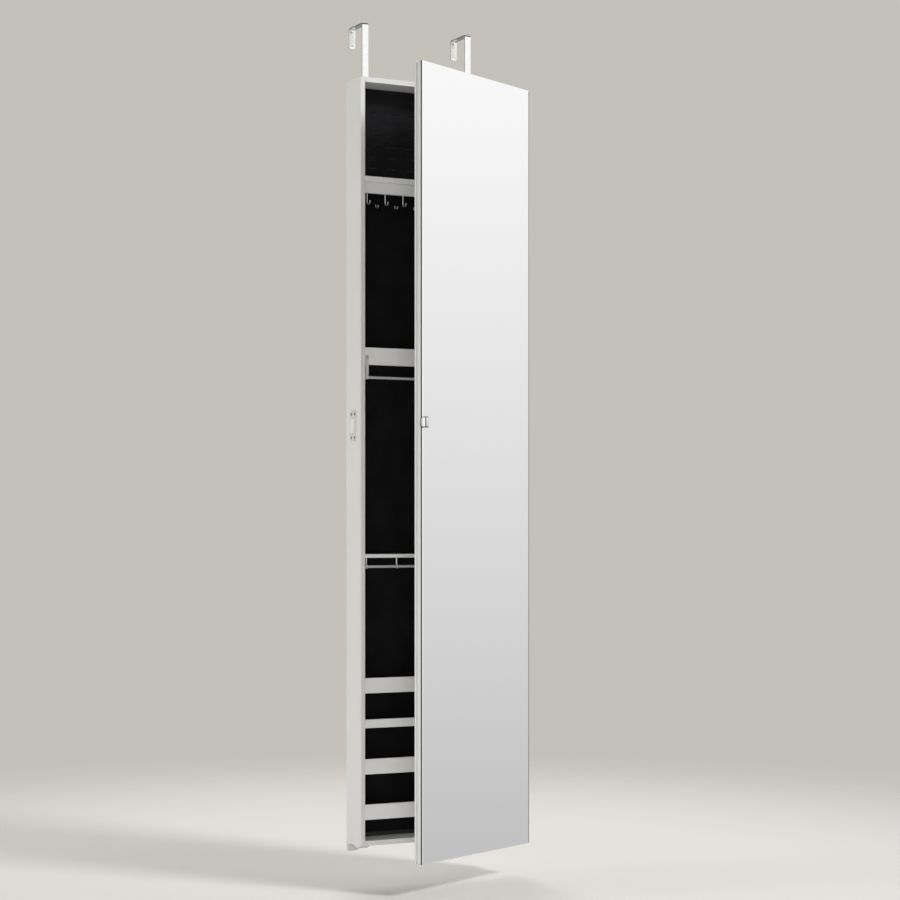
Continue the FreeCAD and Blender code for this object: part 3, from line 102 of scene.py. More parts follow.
# Brightness of the studio that mirror and metal show, by the height of the ray's direction: dim
# at the floor, an even rise from half to full strength round eye level, and a dark ceiling.
STUDIO_RAMP = ((-0.6, 0.25), (-0.5, 0.3), (-0.4, 0.6), (-0.2, 0.5), (0.2, 1.0), (0.45, 1.0),
               (0.55, 0.3), (0.65, 0.05))
# Panels of the studio: direction, cosines where each starts and is full, and its strength.
PANELS = (((0, 1, 0), 0.0, 0.2, 0.5), ((0, -1, 0), 0.2, 0.55, 1.25),
          ((-0.46, 0.86, 0.21), 0.90, 0.97, 0.25), ((-1, 0.1, 0), 0.86, 0.95, 2.6))
BRIGHTEST = 1.04
AMBIENT = 0.35
DAYLIGHT = (1.0, 0.995, 0.985)

# Shapes of the pieces that stand for plain CAD solids.
SHARP_ANGLE = math.radians(35)
LINING_ROUND = 0.8 * MM
LINER_ROUND = 0.6 * MM
TAB_PAD_ROUND = 0.45 * MM
PULL_ROUND = 2.1 * MM
LUG_FROM, LUG_TO = 0.5 * MM, 1.2 * MM
LUG_INSET = 2.5 * MM
LUG_OVERLAP = 3 * MM
LUG_ROUND = 0.3 * MM
# Depth of the mirror bevels' outer rim that is painted dark: painted shade.
PAINTED_DARK_RIM = 0.55 * MM
SCREW_SEGMENTS = 28


# Node materials -------------------------------------------------------------------------------

def scaled(colour, factor):
    """A darker or lighter colour of the same hue."""
    return tuple(part * factor for part in colour)


class Shader:
    """A Principled material with a few words for building its nodes."""

    def __init__(self, name, colour, roughness, metallic=0.0, **values):
        self.material = bpy.data.materials.new(name)
        self.material.use_nodes = True
        self.tree = self.material.node_tree
        self.surface = self.tree.nodes["Principled BSDF"]
        self.set("Base Color", (*colour, 1))
        self.set("Roughness", roughness)
        self.set("Metallic", metallic)
        for socket, value in values.items():
            self.set(socket.replace("_", " "), value)
        coordinates = self.node("ShaderNodeTexCoord").outputs
        self.place = coordinates["Object"]
        self.normal = coordinates["Normal"]

    def set(self, socket, value):
        self.surface.inputs[socket].default_value = value

    def node(self, kind, **values):
        made = self.tree.nodes.new(kind)
        for name, value in values.items():
            setattr(made, name, value)
        return made

    def link(self, out, into):
        self.tree.links.new(out, into)

    def stretched(self, scale):
        """Object coordinates, scaled for grain and brushing."""
        mapping = self.node("ShaderNodeMapping")
        mapping.inputs["Scale"].default_value = scale
        self.link(self.place, mapping.inputs["Vector"])
        return mapping.outputs["Vector"]

    def noise(self, scale, detail, roughness=0.55, place=None):
        made = self.node("ShaderNodeTexNoise")
        made.inputs["Scale"].default_value = scale
        made.inputs["Detail"].default_value = detail
        made.inputs["Roughness"].default_value = roughness
        self.link(place or self.place, made.inputs["Vector"])
        return made.outputs["Fac"]

    def spread(self, value, low, high, start=0.3, end=0.7):
        """Maps a noise value to a range."""
        made = self.node("ShaderNodeMapRange")
        made.inputs["From Min"].default_value = start
        made.inputs["From Max"].default_value = end
        made.inputs["To Min"].default_value = low
        made.inputs["To Max"].default_value = high
        self.link(value, made.inputs["Value"])
        return made.outputs["Result"]

    def blend(self, factor, first, second):
        """Colour that goes from first to second."""
        made = self.node("ShaderNodeMix", data_type="RGBA")
        self.link(factor, made.inputs["Factor"])
        for socket, colour in (("A", first), ("B", second)):
            into = next(s for s in made.inputs if s.name == socket and s.type == "RGBA")
            if isinstance(colour, tuple):
                into.default_value = (*colour, 1)
            else:
                self.link(colour, into)
        return next(s for s in made.outputs if s.type == "RGBA")

    def mathed(self, operation, *values):
        made = self.node("ShaderNodeMath", operation=operation)
        for index, value in enumerate(values):
            if isinstance(value, (int, float)):
                made.inputs[index].default_value = value
            else:
                self.link(value, made.inputs[index])
        return made.outputs["Value"]

    def along(self, vector, direction):
        """Length of a vector along a fixed direction."""
        made = self.node("ShaderNodeVectorMath", operation="DOT_PRODUCT")
        self.link(vector, made.inputs[0])
        made.inputs[1].default_value = direction
        return made.outputs["Value"]

    def axis(self, vector, letter):
        """One coordinate of a vector."""
        split = self.node("ShaderNodeSeparateXYZ")
        self.link(vector, split.inputs["Vector"])
        return split.outputs[letter]

    def mottle(self, value, colour, factor):
        """The colour, scaled by a factor where the value is high."""
        return self.blend(self.spread(value, 0, 1), colour, scaled(colour, factor))

    def colour(self, out):
        self.link(out, self.surface.inputs["Base Color"])

    def roughness(self, out):
        self.link(out, self.surface.inputs["Roughness"])

    def bump(self, *layers):
        """Layers of (height value, depth in metres, strength), the first one lowest."""
        normal = None
        for height, depth, strength in layers:
            made = self.node("ShaderNodeBump")
            made.inputs["Distance"].default_value = depth
            made.inputs["Strength"].default_value = strength
            self.link(height, made.inputs["Height"])
            if normal:
                self.link(normal, made.inputs["Normal"])
            normal = made.outputs["Normal"]
        self.link(normal, self.surface.inputs["Normal"])


def paint(name, colour, roughness=0.42):
    """Sprayed satin paint: fine orange peel, slightly uneven gloss and tone."""
    shader = Shader(name, colour, roughness)
    shader.colour(shader.mottle(shader.noise(9, 4), colour, 0.965))
    shader.roughness(shader.spread(shader.noise(26, 5), roughness - 0.05, roughness + 0.08))
    peel = shader.noise(420, 2)
    waves = shader.noise(45, 2)
    shader.bump((peel, 0.06 * MM, 0.35), (waves, 0.2 * MM, 0.12))
    return shader.material


def hardboard(name, colour, shaded_inner):
    """Board with a faint pressed texture, white on its rear face; its inner face is painted
    shade, near black.
    """
    shader = Shader(name, colour, 0.55)
    # Painted shade: the inner face is painted near black for the shade it sits in behind the
    # lining.
    inside = shader.mathed("LESS_THAN", shader.axis(shader.normal, "Y"), -0.5)
    tone = shader.mottle(shader.noise(14, 6), colour, 0.965)
    shader.colour(shader.blend(inside, tone, shaded_inner))
    shader.roughness(shader.spread(shader.noise(60, 4), 0.5, 0.65))
    pressed = shader.noise(900, 3)
    waves = shader.noise(7, 2)
    shader.bump((pressed, 0.1 * MM, 0.4), (waves, 0.8 * MM, 0.1))
    return shader.material


def velvet(name, colour, pile=1.0):
    """Short pile: soft sheen at grazing angles; nap patches painted lighter, random tone and
    painted sheen.
    """
    shader = Shader(name, colour, 0.92, Sheen_Weight=0.16 * pile, Sheen_Roughness=0.35)
    shader.set("Sheen Tint", (0.62, 0.62, 0.66, 1))
    shader.set("Specular IOR Level", 0.06)
    nap = shader.spread(shader.noise(16, 3, 0.6), 0, 1, 0.38, 0.66)
    fibre = shader.spread(shader.noise(2600, 2), 0, 1)
    # Painted sheen: where nap and fibres are high the colour is raised, as if the pile caught
    # light.
    lit = shader.mathed("MULTIPLY", nap, fibre)
    shader.colour(shader.blend(lit, colour, scaled(colour, 1.9)))
    shader.bump((nap, 0.4 * MM, 0.25), (fibre, 0.25 * MM, 0.8))
    return shader.material


def felt(name, colour):
    """Pressed fibres: mottled, rough, no sheen to speak of."""
    shader = Shader(name, colour, 0.95, Sheen_Weight=0.25, Sheen_Roughness=0.6)
    fibres = shader.noise(900, 6, 0.75, shader.stretched((1, 1.6, 1)))
    shader.colour(shader.mottle(fibres, colour, 1.8))
    shader.bump((fibres, 0.5 * MM, 0.7))
    return shader.material


def metal(name, colour, roughness, brush=None, smudge=0.03):
    """Bare or plated metal, brushed along one axis where a stretch is given."""
    shader = Shader(name, colour, roughness, metallic=1.0)
    grain = shader.noise(240, 3, 0.6, shader.stretched(brush or (1, 1, 1)))
    handled = shader.spread(shader.noise(38, 4), roughness - smudge, roughness + smudge)
    if brush:
        handled = shader.mathed("ADD", handled, shader.spread(grain, -0.06, 0.08))
        shader.bump((grain, 0.03 * MM, 0.5))
    else:
        shader.bump((shader.noise(70, 2), 0.04 * MM, 0.15))
    shader.roughness(handled)
    shader.colour(shader.mottle(grain, colour, 0.9))
    return shader.material


def mirror_front():
    """Distance of the glass front from the origin, along the door's own front."""
    return max(v.co.dot(DOOR_FRONT) for v in frame["nodes"]["mirror_glass"].data.vertices)


def chrome_with_painted_rims(name):
    """Chrome: painted shade on the lug behind the glass, painted dark reflections where faces
    roll over.
    """
    shader = Shader(name, (0.82, 0.82, 0.83), 0.07, metallic=1.0)
    facing = [shader.mathed("ABSOLUTE", shader.along(shader.normal, way))
              for way in (DOOR_FRONT, DOOR_SIDE)]
    # Painted dark reflections: faces that roll away from front and side turn near black.
    flat = shader.spread(shader.mathed("MAXIMUM", *facing), 0, 1, 0.93, 0.99)
    # Painted shade: the lug, behind the glass front, gets a darker chrome colour.
    block = shader.mathed("GREATER_THAN", shader.along(shader.place, DOOR_FRONT),
                          mirror_front())
    tone = shader.blend(flat, (0.05, 0.05, 0.055), (0.86, 0.86, 0.87))
    shader.colour(shader.blend(block, (0.26, 0.26, 0.265), tone))
    shader.roughness(shader.spread(shader.noise(38, 4), 0.05, 0.11))
    shader.bump((shader.noise(70, 2), 0.03 * MM, 0.1))
    return shader.material


def plastic(name, colour, roughness=0.5):
    """Moulded plastic with a fine spark texture."""
    shader = Shader(name, colour, roughness)
    shader.colour(shader.mottle(shader.noise(30, 3), colour, 0.9))
    shader.roughness(shader.spread(shader.noise(120, 3), roughness - 0.06, roughness + 0.06))
    shader.bump((shader.noise(1400, 2), 0.06 * MM, 0.5))
    return shader.material


def foam(name, colour):
    """Closed-cell foam; its small pits are painted darker, painted shade."""
    shader = Shader(name, colour, 0.9)
    cells = shader.node("ShaderNodeTexVoronoi")
    cells.inputs["Scale"].default_value = 2600
    shader.link(shader.place, cells.inputs["Vector"])
    # Painted shade: the pits are only darker in colour, with no bump of their own.
    pit_shade = shader.spread(cells.outputs["Distance"], 0, 1, 0.0, 0.6)
    shader.colour(shader.blend(pit_shade, scaled(colour, 0.965), colour))
    shader.bump((shader.noise(260, 2), 0.1 * MM, 0.25))
    return shader.material


def bare_wood(name, colour):
    """Turned beech with grain along its length."""
    shader = Shader(name, colour, 0.6)
    grain = shader.noise(300, 5, 0.6, shader.stretched((0.08, 1, 1)))
    shader.colour(shader.mottle(grain, colour, 0.7))
    shader.bump((grain, 0.1 * MM, 0.5))
    return shader.material


def clear_rubber(name):
    """Cloudy clear bumper."""
    shader = Shader(name, (0.86, 0.86, 0.85), 0.25, Transmission_Weight=0.6, IOR=1.45)
    shader.roughness(shader.spread(shader.noise(200, 3), 0.18, 0.34))
    return shader.material


def magnet(name):
    """Dark ferrite between two steel pole plates, in layers over its height."""
    shader = Shader(name, (0.05, 0.05, 0.055), 0.5, metallic=0.6)
    low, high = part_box("catch_magnet")
    middle = shader.mathed("SUBTRACT", shader.axis(shader.place, "Z"), (low.z + high.z) / 2)
    ferrite_half = (high.z - low.z) * 0.3
    plate = shader.mathed("GREATER_THAN", shader.mathed("ABSOLUTE", middle), ferrite_half)
    grit = shader.spread(shader.noise(500, 4), 0.3, 1)
    ferrite = shader.blend(grit, (0.03, 0.03, 0.035), (0.07, 0.07, 0.075))
    shader.colour(shader.blend(plate, ferrite, (0.55, 0.55, 0.56)))
    shader.roughness(shader.spread(plate, 0.65, 0.3, 0, 1))
    return shader.material


def mirror(name):
    """Silvered front; dark glass on the ground edge, and painted shade on the upright bevels'
    outer rim.
    """
    silver = (0.935, 0.935, 0.935)
    shader = Shader(name, silver, 0.02, metallic=1.0)
    slope = shader.mathed("ABSOLUTE", shader.axis(shader.normal, "Z"))
    upright = shader.mathed("LESS_THAN", slope, 0.1)
    # Painted shade: the outer rim of the upright bevels is painted dark like the ground edge,
    # widening the dark line at the glass's edge.
    behind = shader.mathed("LESS_THAN", shader.along(shader.place, DOOR_FRONT),
                           mirror_front() - PAINTED_DARK_RIM)
    rim = shader.mathed("MULTIPLY", upright, behind)
    ground = shader.mathed("LESS_THAN", shader.along(shader.normal, DOOR_FRONT), 0.7)
    edge = shader.mathed("MAXIMUM", ground, rim)
    dark_glass_and_painted_rim = shader.blend(shader.spread(shader.noise(300, 3), 0, 1),
                              (0.020, 0.026, 0.024), (0.040, 0.048, 0.045))
    shader.colour(shader.blend(edge, silver, dark_glass_and_painted_rim))
    shader.link(shader.mathed("SUBTRACT", 1.0, edge), shader.surface.inputs["Metallic"])
    polish = shader.spread(shader.noise(3, 3), 0.015, 0.035)
    shader.roughness(shader.mathed("ADD", polish, shader.mathed("MULTIPLY", edge, 0.2)))
    return shader.material


# Mesh building --------------------------------------------------------------------------------

FINISH = {}


def piece(name, mesh_data, slot, body, stands_for):
    """Turns a bmesh into an object that rides on a body and stands for CAD nodes."""
    mesh = bpy.data.meshes.new(name)
    mesh_data.to_mesh(mesh)
    mesh_data.free()
    made = bpy.data.objects.new(name, mesh)
    bpy.context.scene.collection.objects.link(made)
    mesh.materials.append(FINISH[slot])
    mesh.shade_smooth()
    mesh.set_sharp_from_angle(angle=SHARP_ANGLE)
    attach(made, body)
    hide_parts(*stands_for)
    return made


def rounded_box(shape, low, high, radius, steps=3):
    """Adds a box with rounded edges to a bmesh."""
    place = Matrix.Translation((low + high) / 2) @ Matrix.Diagonal((*(high - low), 1))
    made = bmesh.ops.create_cube(shape, size=1.0, matrix=place)
    edges = list({edge for corner in made["verts"] for edge in corner.link_edges})
    bmesh.ops.bevel(shape, geom=edges, offset=radius, segments=steps, profile=0.5,
                    affect="EDGES", clamp_overlap=True)


def extent(points, axes):
    """Lowest and highest distance of the points along each axis."""
    spans = [[p.dot(axis) for p in points] for axis in axes]
    return Vector([min(span) for span in spans]), Vector([max(span) for span in spans])


def islands(node):
    """Vertices of each separate solid of a CAD node."""
    shape = bmesh.new()
    shape.from_mesh(frame["nodes"][node].data)
    bmesh.ops.remove_doubles(shape, verts=shape.verts, dist=1e-6)
    left = set(shape.verts)
    found = []
    while left:
        stack = [left.pop()]
        group = []
        while stack:
            corner = stack.pop()
            group.append(corner.co.copy())
            for edge in corner.link_edges:
                other = edge.other_vert(corner)
                if other in left:
                    left.remove(other)
                    stack.append(other)
        found.append(group)
    shape.free()
    return sorted(found, key=lambda group: tuple(round(c, 4) for c in min(group)))


def stretch(points, outward):
    """Head centre, length and head radius of a screw whose head faces outward."""
    steps = [p.dot(outward) for p in points]
    top = max(steps)
    middle = sum(points, Vector()) / len(points)
    line = middle - outward * middle.dot(outward)
    radius = max((p - outward * p.dot(outward) - line).length for p in points)
    return line + outward * top, top - min(steps), radius


def cross_recess(radius):
    """Outline of a cross recess, as points round the centre."""
    wide = radius * 0.17
    long = radius * 0.58
    quarter = [Vector((wide, long, 0)), Vector((wide, wide, 0)), Vector((long, wide, 0))]
    points = []
    for turn in range(4):
        spin = Matrix.Rotation(-turn * math.pi / 2, 3, "Z")
        points.extend(spin @ p for p in quarter)
    return points


def band(shape, first, second):
    """Faces between two rings of the same number of vertices."""
    count = len(first)
    for step in range(count):
        after = (step + 1) % count
        shape.faces.new((first[step], second[step], second[after], first[after]))


def screw(shape, centre, outward, length, radius, pan):
    """One screw with a cross recess: countersunk, or with a pan head."""
    shank = radius * 0.48
    head = radius * 0.36
    crown = radius * 0.05 if pan else 0.0
    depth = radius * 0.3
    if pan:
        rings = [(radius * 0.72, 0.0), (radius * 0.93, -head * 0.35), (radius, -head),
                 (shank, -head)]
    else:
        rings = [(radius * 0.97, 0.0), (radius, -radius * 0.03), (shank, -head)]
    rings += [(shank, -length + shank * 0.6), (shank * 0.25, -length)]
    turns = [2 * math.pi * step / SCREW_SEGMENTS for step in range(SCREW_SEGMENTS)]
    place = Matrix.Translation(centre) @ outward.to_track_quat("Z", "Y").to_matrix().to_4x4()

    def ring(points):
        return [shape.verts.new(place @ point) for point in points]

    made = [ring(Vector((math.cos(turn) * wide, math.sin(turn) * wide, height))
                 for turn in turns) for wide, height in rings]
    for upper, lower in zip(made, made[1:]):
        band(shape, upper, lower)
    shape.faces.new(made[-1])
    outline = cross_recess(radius)
    top = ring(p + UP * crown for p in outline)
    low = ring(p * 0.8 - UP * depth for p in outline)
    edges = []
    for loop in (made[0], top):
        for step, corner in enumerate(loop):
            after = loop[(step + 1) % len(loop)]
            edge = shape.edges.get((corner, after)) or shape.edges.new((corner, after))
            edges.append(edge)
    bmesh.ops.triangle_fill(shape, edges=edges, use_beauty=True, use_dissolve=False)
    band(shape, top, low)
    shape.faces.new(low)


def screws(node, outward, body, pan=False):
    """Every screw of a CAD group, with its recess, in one piece."""
    shape = bmesh.new()
    for points in islands(node):
        centre, length, radius = stretch(points, outward)
        screw(shape, centre, outward, length, radius, pan)
    bmesh.ops.recalc_face_normals(shape, faces=shape.faces)
    piece(node + "_detail", shape, "screw_steel", body, [node])


def pull():
    """The pull: a block with rolled edges on the glass, and a thin lug over the door's edge."""
    axes = (DOOR_SIDE, DOOR_FRONT, UP)
    low, high = extent([v.co for v in frame["nodes"]["door_pull"].data.vertices], axes)
    glass = mirror_front()
    shape = bmesh.new()
    rounded_box(shape, Vector((low.x, glass, low.z)), high, PULL_ROUND, 6)
    rounded_box(shape, Vector((low.x + LUG_FROM, low.y, low.z + LUG_INSET)),
                Vector((low.x + LUG_TO, glass + LUG_OVERLAP, high.z - LUG_INSET)), LUG_ROUND)
    shape.transform(Matrix(axes).transposed().to_4x4())
    bmesh.ops.recalc_face_normals(shape, faces=shape.faces)
    made = piece("rolled_pull", shape, "chrome", DOOR, ["door_pull"])
    made.data.materials[0] = chrome_with_painted_rims("pull_chrome_painted_rims")


# Soft and lined pieces ------------------------------------------------------------------------

def slit_places(points):
    """Middles of the CAD pad's slits across and up, and their half length, from their floors."""
    front = min(p.y for p in points)
    depth = sorted({round(p.y - front, 6) for p in points})[-2]
    floor = [p for p in points if abs(p.y - front - depth) < 1e-5]
    columns = sorted({round(p.x, 5) for p in floor})
    rows = sorted({round(p.z, 5) for p in floor})
    across, up = ([(a + b) / 2 for a, b in zip(ends[::2], ends[1::2])]
                  for ends in (columns, rows))
    return across, up, (columns[1] - columns[0]) / 2


def steps_about(low, high, middles, offsets, widest):
    """Grid lines from low to high, close together about the middles and at both ends."""
    lines = {low, high}
    for middle in middles:
        lines.update(middle + offset for offset in offsets)
    for rim in (0.4, 1.2, 2.4, 4, 6):
        lines.update((low + rim * MM, high - rim * MM))
    lines = sorted(line for line in lines if low <= line <= high)
    filled = [lines[0]]
    for line in lines[1:]:
        gap = line - filled[-1]
        if gap < 1e-5:
            continue
        count = max(1, math.ceil(gap / widest))
        start = filled[-1]
        filled.extend(start + gap * (i + 1) / count for i in range(count))
    return filled


def bell(distance, width):
    return math.exp(-(distance / width) ** 2)


def earring_cushion():
    """Velvet over foam: rounded rim, a slight roll between the rows, slits with raised lips."""
    slit_deep, slit_wide = 3.8 * MM, 0.7 * MM
    lip_high, lip_from_slit, lip_wide = 0.5 * MM, 1.9 * MM, 1.1 * MM
    roll, rim, skin = 0.35 * MM, 5 * MM, 0.5 * MM
    low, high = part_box("earring_pad")
    columns, rows, half = slit_places(
        [v.co for v in frame["nodes"]["earring_pad"].data.vertices])
    pitch = rows[1] - rows[0]
    across = [half * part for part in (-1.25, -1, -0.9, -0.5, 0, 0.5, 0.9, 1, 1.25)]
    up = [sign * step * MM for step in (0.35, 0.8, 1.4, 2.2, 3.4, 5) for sign in (-1, 1)] + [0]
    xs = steps_about(low.x, high.x, columns, across, 7 * MM)
    zs = steps_about(low.z, high.z, rows, up, 5 * MM)

    def front(x, z):
        y = low.y + skin
        edge = min(x - low.x, high.x - x, z - low.z, high.z - z)
        if edge < rim:
            y += (high.y - low.y) * 0.85 * (1 - math.sqrt(1 - (1 - edge / rim) ** 2))
        off = z - min(rows, key=lambda row: abs(row - z))
        column = min(columns, key=lambda column: abs(column - x))
        along = min(max((half * 1.12 - abs(x - column)) / (half * 0.2), 0), 1)
        y += slit_deep * bell(off, slit_wide) * along
        y -= lip_high * bell(abs(off) - lip_from_slit, lip_wide) * along
        y += roll * math.cos(2 * math.pi * off / pitch) * bell(min(0, edge - rim * 2), rim)
        return max(y, low.y)

    shape = bmesh.new()
    grid = [[shape.verts.new((x, front(x, z), z)) for x in xs] for z in zs]
    for under, over in zip(grid, grid[1:]):
        for i in range(len(xs) - 1):
            shape.faces.new((under[i], under[i + 1], over[i + 1], over[i]))
    rim_loop = (grid[0] + [row[-1] for row in grid[1:]] + grid[-1][-2::-1]
                + [row[0] for row in grid[-2:0:-1]])
    back = [shape.verts.new((v.co.x, high.y, v.co.z)) for v in rim_loop]
    band(shape, rim_loop, back)
    shape.faces.new(back)
    bmesh.ops.recalc_face_normals(shape, faces=shape.faces)
    made = piece("earring_cushion", shape, "foam", CABINET, ["earring_pad"])


def soft_boxes(name, node, slot, radius):
    """Every solid of a CAD node, as boxes with soft edges in one piece."""
    shape = bmesh.new()
    for points in islands(node):
        rounded_box(shape, *extent(points, Matrix.Identity(3)), radius)
    return piece(name, shape, slot, CABINET, [node])


# The object -----------------------------------------------------------------------------------

def dress(nodes, material):
    """Gives CAD nodes their finish."""
    for name in nodes:
        mesh = frame["nodes"][name].data
        mesh.materials.clear()
        mesh.materials.append(material)


def slot_nodes(slot):
    return [part["node"] for part in frame["record"]["subparts"] if part["material_slot"] == slot]


def finishes():
    """Procedural finish of every node, by the record's slots."""
    FINISH.update({
        "box_paint": paint("cabinet_paint", (0.80, 0.80, 0.79)),
        # Painted shade: the door gets a darker copy of the cabinet's white paint, standing in for
        # the shade on it.
        "door_paint": paint("door_paint", (0.76, 0.76, 0.75), 0.38),
        # Its inner face is painted near black, painted shade.
        "back_board": hardboard("white_hardboard", (0.78, 0.78, 0.765), (0.02, 0.02, 0.021)),
        "dowel_wood": bare_wood("beech", (0.62, 0.44, 0.27)),
        "velvet": velvet("charcoal_velvet", (0.0075, 0.0075, 0.0083)),
        "foam": velvet("cushion_velvet", (0.0125, 0.0125, 0.014), 2.4),
        "felt": felt("charcoal_felt", (0.013, 0.013, 0.0145)),
        "pad_foam": foam("pale_foam", (0.84, 0.84, 0.82)),
        "mirror": mirror("mirror_glass"),
        "hook_steel": metal("polished_steel", (0.95, 0.95, 0.945), 0.06, smudge=0.02),
        "plate_paint": paint("plate_coat", (0.89, 0.89, 0.88), 0.34),
        "chrome": metal("chrome", (0.80, 0.80, 0.81), 0.08),
        "rod_metal": metal("rod_plating", (0.90, 0.90, 0.90), 0.2),
        "hinge_steel": metal("hinge_nickel", (0.80, 0.79, 0.77), 0.34, (1, 1, 0.06)),
        "screw_steel": metal("zinc_screws", (0.60, 0.60, 0.61), 0.3),
        "catch_plastic": plastic("white_moulding", (0.80, 0.80, 0.79)),
        "magnet": magnet("pole_and_ferrite"),
        "buffer": clear_rubber("clear_buffer"),
        "bumper_plastic": plastic("grey_moulding", (0.70, 0.70, 0.69), 0.55),
        "foot_plastic": plastic("white_foot", (0.80, 0.80, 0.79), 0.45),
    })
    for slot, material in FINISH.items():
        dress(slot_nodes(slot), material)
    # Painted light: the inner pieces get a lighter copy of the cabinet paint, standing in for
    # light reaching into the box.
    inside = [name for name in slot_nodes("box_paint") if not name.endswith("_panel")]
    dress(inside, paint("inner_paint_painted_light", (0.90, 0.90, 0.89), 0.36))
    # Painted shade: the side plate gets a darker copy of the plate paint than its insert, for the
    # shaded outlines round it.
    dress(["side_plate"], paint("plate_paint_shaded", (0.71, 0.71, 0.70), 0.34))


def detail():
    """Pieces that stand for plain CAD solids."""
    soft_boxes("velvet_lining", "back_lining", "velvet", LINING_ROUND)
    earring_cushion()
    liners = soft_boxes("felt_liners", "tray_liners", "felt", LINER_ROUND)
    tab_pads = soft_boxes("tab_foam_pads", "hook_pads", "pad_foam", TAB_PAD_ROUND)
    pull()
    screws("side_plate_screws", Vector((-1, 0, 0)), CABINET)
    screws("hook_screws", Vector((0, 1, 0)), CABINET)
    screws("rod_bracket_screws", Vector((0, -1, 0)), CABINET, pan=True)
    screws("catch_screws", -UP, CABINET)
    screws("box_hinge_screws", Vector((1, 0, 0)), CABINET)
    screws("door_hinge_screws", DOOR_SIDE, DOOR)
    screws("pull_screw", -DOOR_FRONT, DOOR)
    screws("strike_screw", -DOOR_FRONT, DOOR)


# Studio ---------------------------------------------------------------------------------------

def placed(name, data, place):
    """A new object in the scene, for camera, lamps and floor."""
    made = bpy.data.objects.new(name, data)
    made.location = place
    bpy.context.scene.collection.objects.link(made)
    return made


def camera():
    data = bpy.data.cameras.new("photo_view")
    data.sensor_fit = "HORIZONTAL"
    data.sensor_width = SENSOR_MM
    data.lens = LENS_MM
    data.shift_y = SHIFT_UP
    data.clip_end = CLIP_END
    made = placed("photo_view", data, EYE)
    made.rotation_euler = (math.radians(90), 0, -HEADING)
    bpy.context.scene.camera = made


def floor():
    """Pale floor that keeps the shadow and melts into the background away from the object.

    Mirror and metal see the studio instead of its edge, and from below it hides nothing."""
    shader = Shader("studio_floor", FLOOR, 0.9)
    shader.set("Specular IOR Level", 0.1)
    path = shader.node("ShaderNodeLightPath").outputs
    away = shader.node("ShaderNodeVectorMath", operation="LENGTH")
    shader.link(shader.place, away.inputs[0])
    faded = shader.node("ShaderNodeMapRange", interpolation_type="SMOOTHERSTEP")
    faded.inputs["From Min"].default_value = FADE_FROM
    faded.inputs["From Max"].default_value = FADE_TO
    shader.link(away.outputs["Value"], faded.inputs["Value"])
    under = shader.node("ShaderNodeNewGeometry").outputs["Backfacing"]
    gone = shader.mathed("MAXIMUM", faded.outputs["Result"], under)
    seen = shader.mathed("MULTIPLY", gone, path["Is Camera Ray"])
    clear = shader.node("ShaderNodeBsdfTransparent")
    mix = shader.node("ShaderNodeMixShader")
    shader.link(shader.mathed("MAXIMUM", seen, path["Is Glossy Ray"]), mix.inputs["Fac"])
    shader.link(shader.surface.outputs["BSDF"], mix.inputs[1])
    shader.link(clear.outputs["BSDF"], mix.inputs[2])
    shader.link(mix.outputs["Shader"], shader.tree.nodes["Material Output"].inputs["Surface"])
    shape = bmesh.new()
    bmesh.ops.create_circle(shape, cap_ends=True, segments=96, radius=FLOOR_RADIUS)
    mesh = bpy.data.meshes.new("studio_floor")
    shape.to_mesh(mesh)
    shape.free()
    mesh.materials.append(shader.material)
    made = placed("studio_floor", mesh, (0, 0, CAD_BOX[0][2] - FLOOR_BELOW))


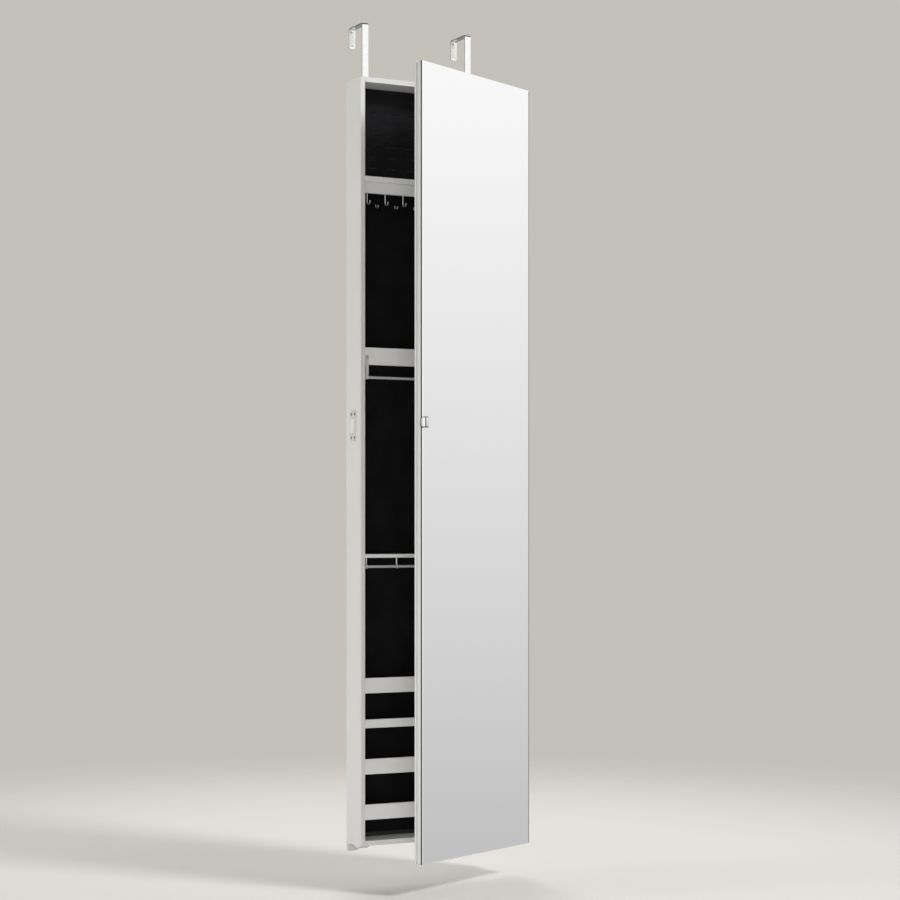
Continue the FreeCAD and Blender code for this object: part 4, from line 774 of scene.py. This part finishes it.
def world():
    """Even ambient light, the plain background for the eye, and a studio for reflections."""
    made = bpy.data.worlds.new("studio")
    bpy.context.scene.world = made
    made.use_nodes = True
    tree = made.node_tree
    tree.nodes.clear()

    def node(kind, *inputs, **values):
        new = tree.nodes.new(kind)
        for name, value in values.items():
            setattr(new, name, value)
        for index, value in enumerate(inputs):
            if isinstance(value, bpy.types.NodeSocket):
                tree.links.new(value, new.inputs[index])
            else:
                new.inputs[index].default_value = value
        return new.outputs

    path = node("ShaderNodeLightPath")
    way = node("ShaderNodeTexCoord")["Generated"]
    height = node("ShaderNodeSeparateXYZ", way)["Z"]
    low, high = STUDIO_RAMP[0][0], STUDIO_RAMP[-1][0]
    span = node("ShaderNodeMapRange", height, low, high, 0.0, 1.0)["Result"]
    shade = node("ShaderNodeValToRGB", span)["Color"]
    stops = shade.node.color_ramp.elements
    while len(stops) > 1:
        stops.remove(stops[-1])
    for index, (step, value) in enumerate(STUDIO_RAMP):
        at = (step - low) / (high - low)
        stop = stops[0] if index == 0 else stops.new(at)
        stop.position = at
        stop.color = (value, value, value, 1)
    for direction, start, full, strength in PANELS:
        toward = node("ShaderNodeVectorMath", way, tuple(Vector(direction).normalized()),
                      operation="DOT_PRODUCT")["Value"]
        panel = node("ShaderNodeMapRange", toward, start, full, 1.0, strength,
                     interpolation_type="SMOOTHSTEP")["Result"]
        shade = node("ShaderNodeMath", shade, panel, operation="MULTIPLY")["Value"]
    shade = node("ShaderNodeMath", shade, BRIGHTEST, operation="MINIMUM")["Value"]
    even = node("ShaderNodeBackground", (*DAYLIGHT, 1), AMBIENT)[0]
    studio_light = node("ShaderNodeBackground", (1, 1, 1, 1), shade)[0]
    seen = node("ShaderNodeBackground", (*BACKGROUND, 1), 1.0)[0]
    lit = node("ShaderNodeMixShader", path["Is Glossy Ray"], even, studio_light)[0]
    shown = node("ShaderNodeMixShader", path["Is Camera Ray"], lit, seen)[0]
    node("ShaderNodeOutputWorld", shown)


def lamp(name, place, aim, size, energy, spread=180):
    data = bpy.data.lights.new(name, "AREA")
    data.shape = "DISK"
    data.size = size
    data.energy = energy
    data.spread = math.radians(spread)
    made = placed(name, data, place)
    made.rotation_euler = (Vector(aim) - Vector(place)).to_track_quat("-Z", "Y").to_euler()
    made.visible_glossy = False


def studio():
    bpy.context.scene.view_settings.view_transform = "Standard"
    floor()
    world()
    lamp("key", (2.0, -3.5, 2.9), (0, 0, 0.4), 1.2, 130)
    lamp("side", (-4.3, 1.3, 0.15), (0, 0, 0), 2.4, 66)
    lamp("low", (-1.2, -2.8, -0.6), (0, 0, -0.62), 1.2, 3.3, 70)
    lamp("rear", (1.5, 4.0, 2.0), (0, 0, 0), 2.4, 90)


def main():
    camera()
    finishes()
    detail()
    studio()


main()
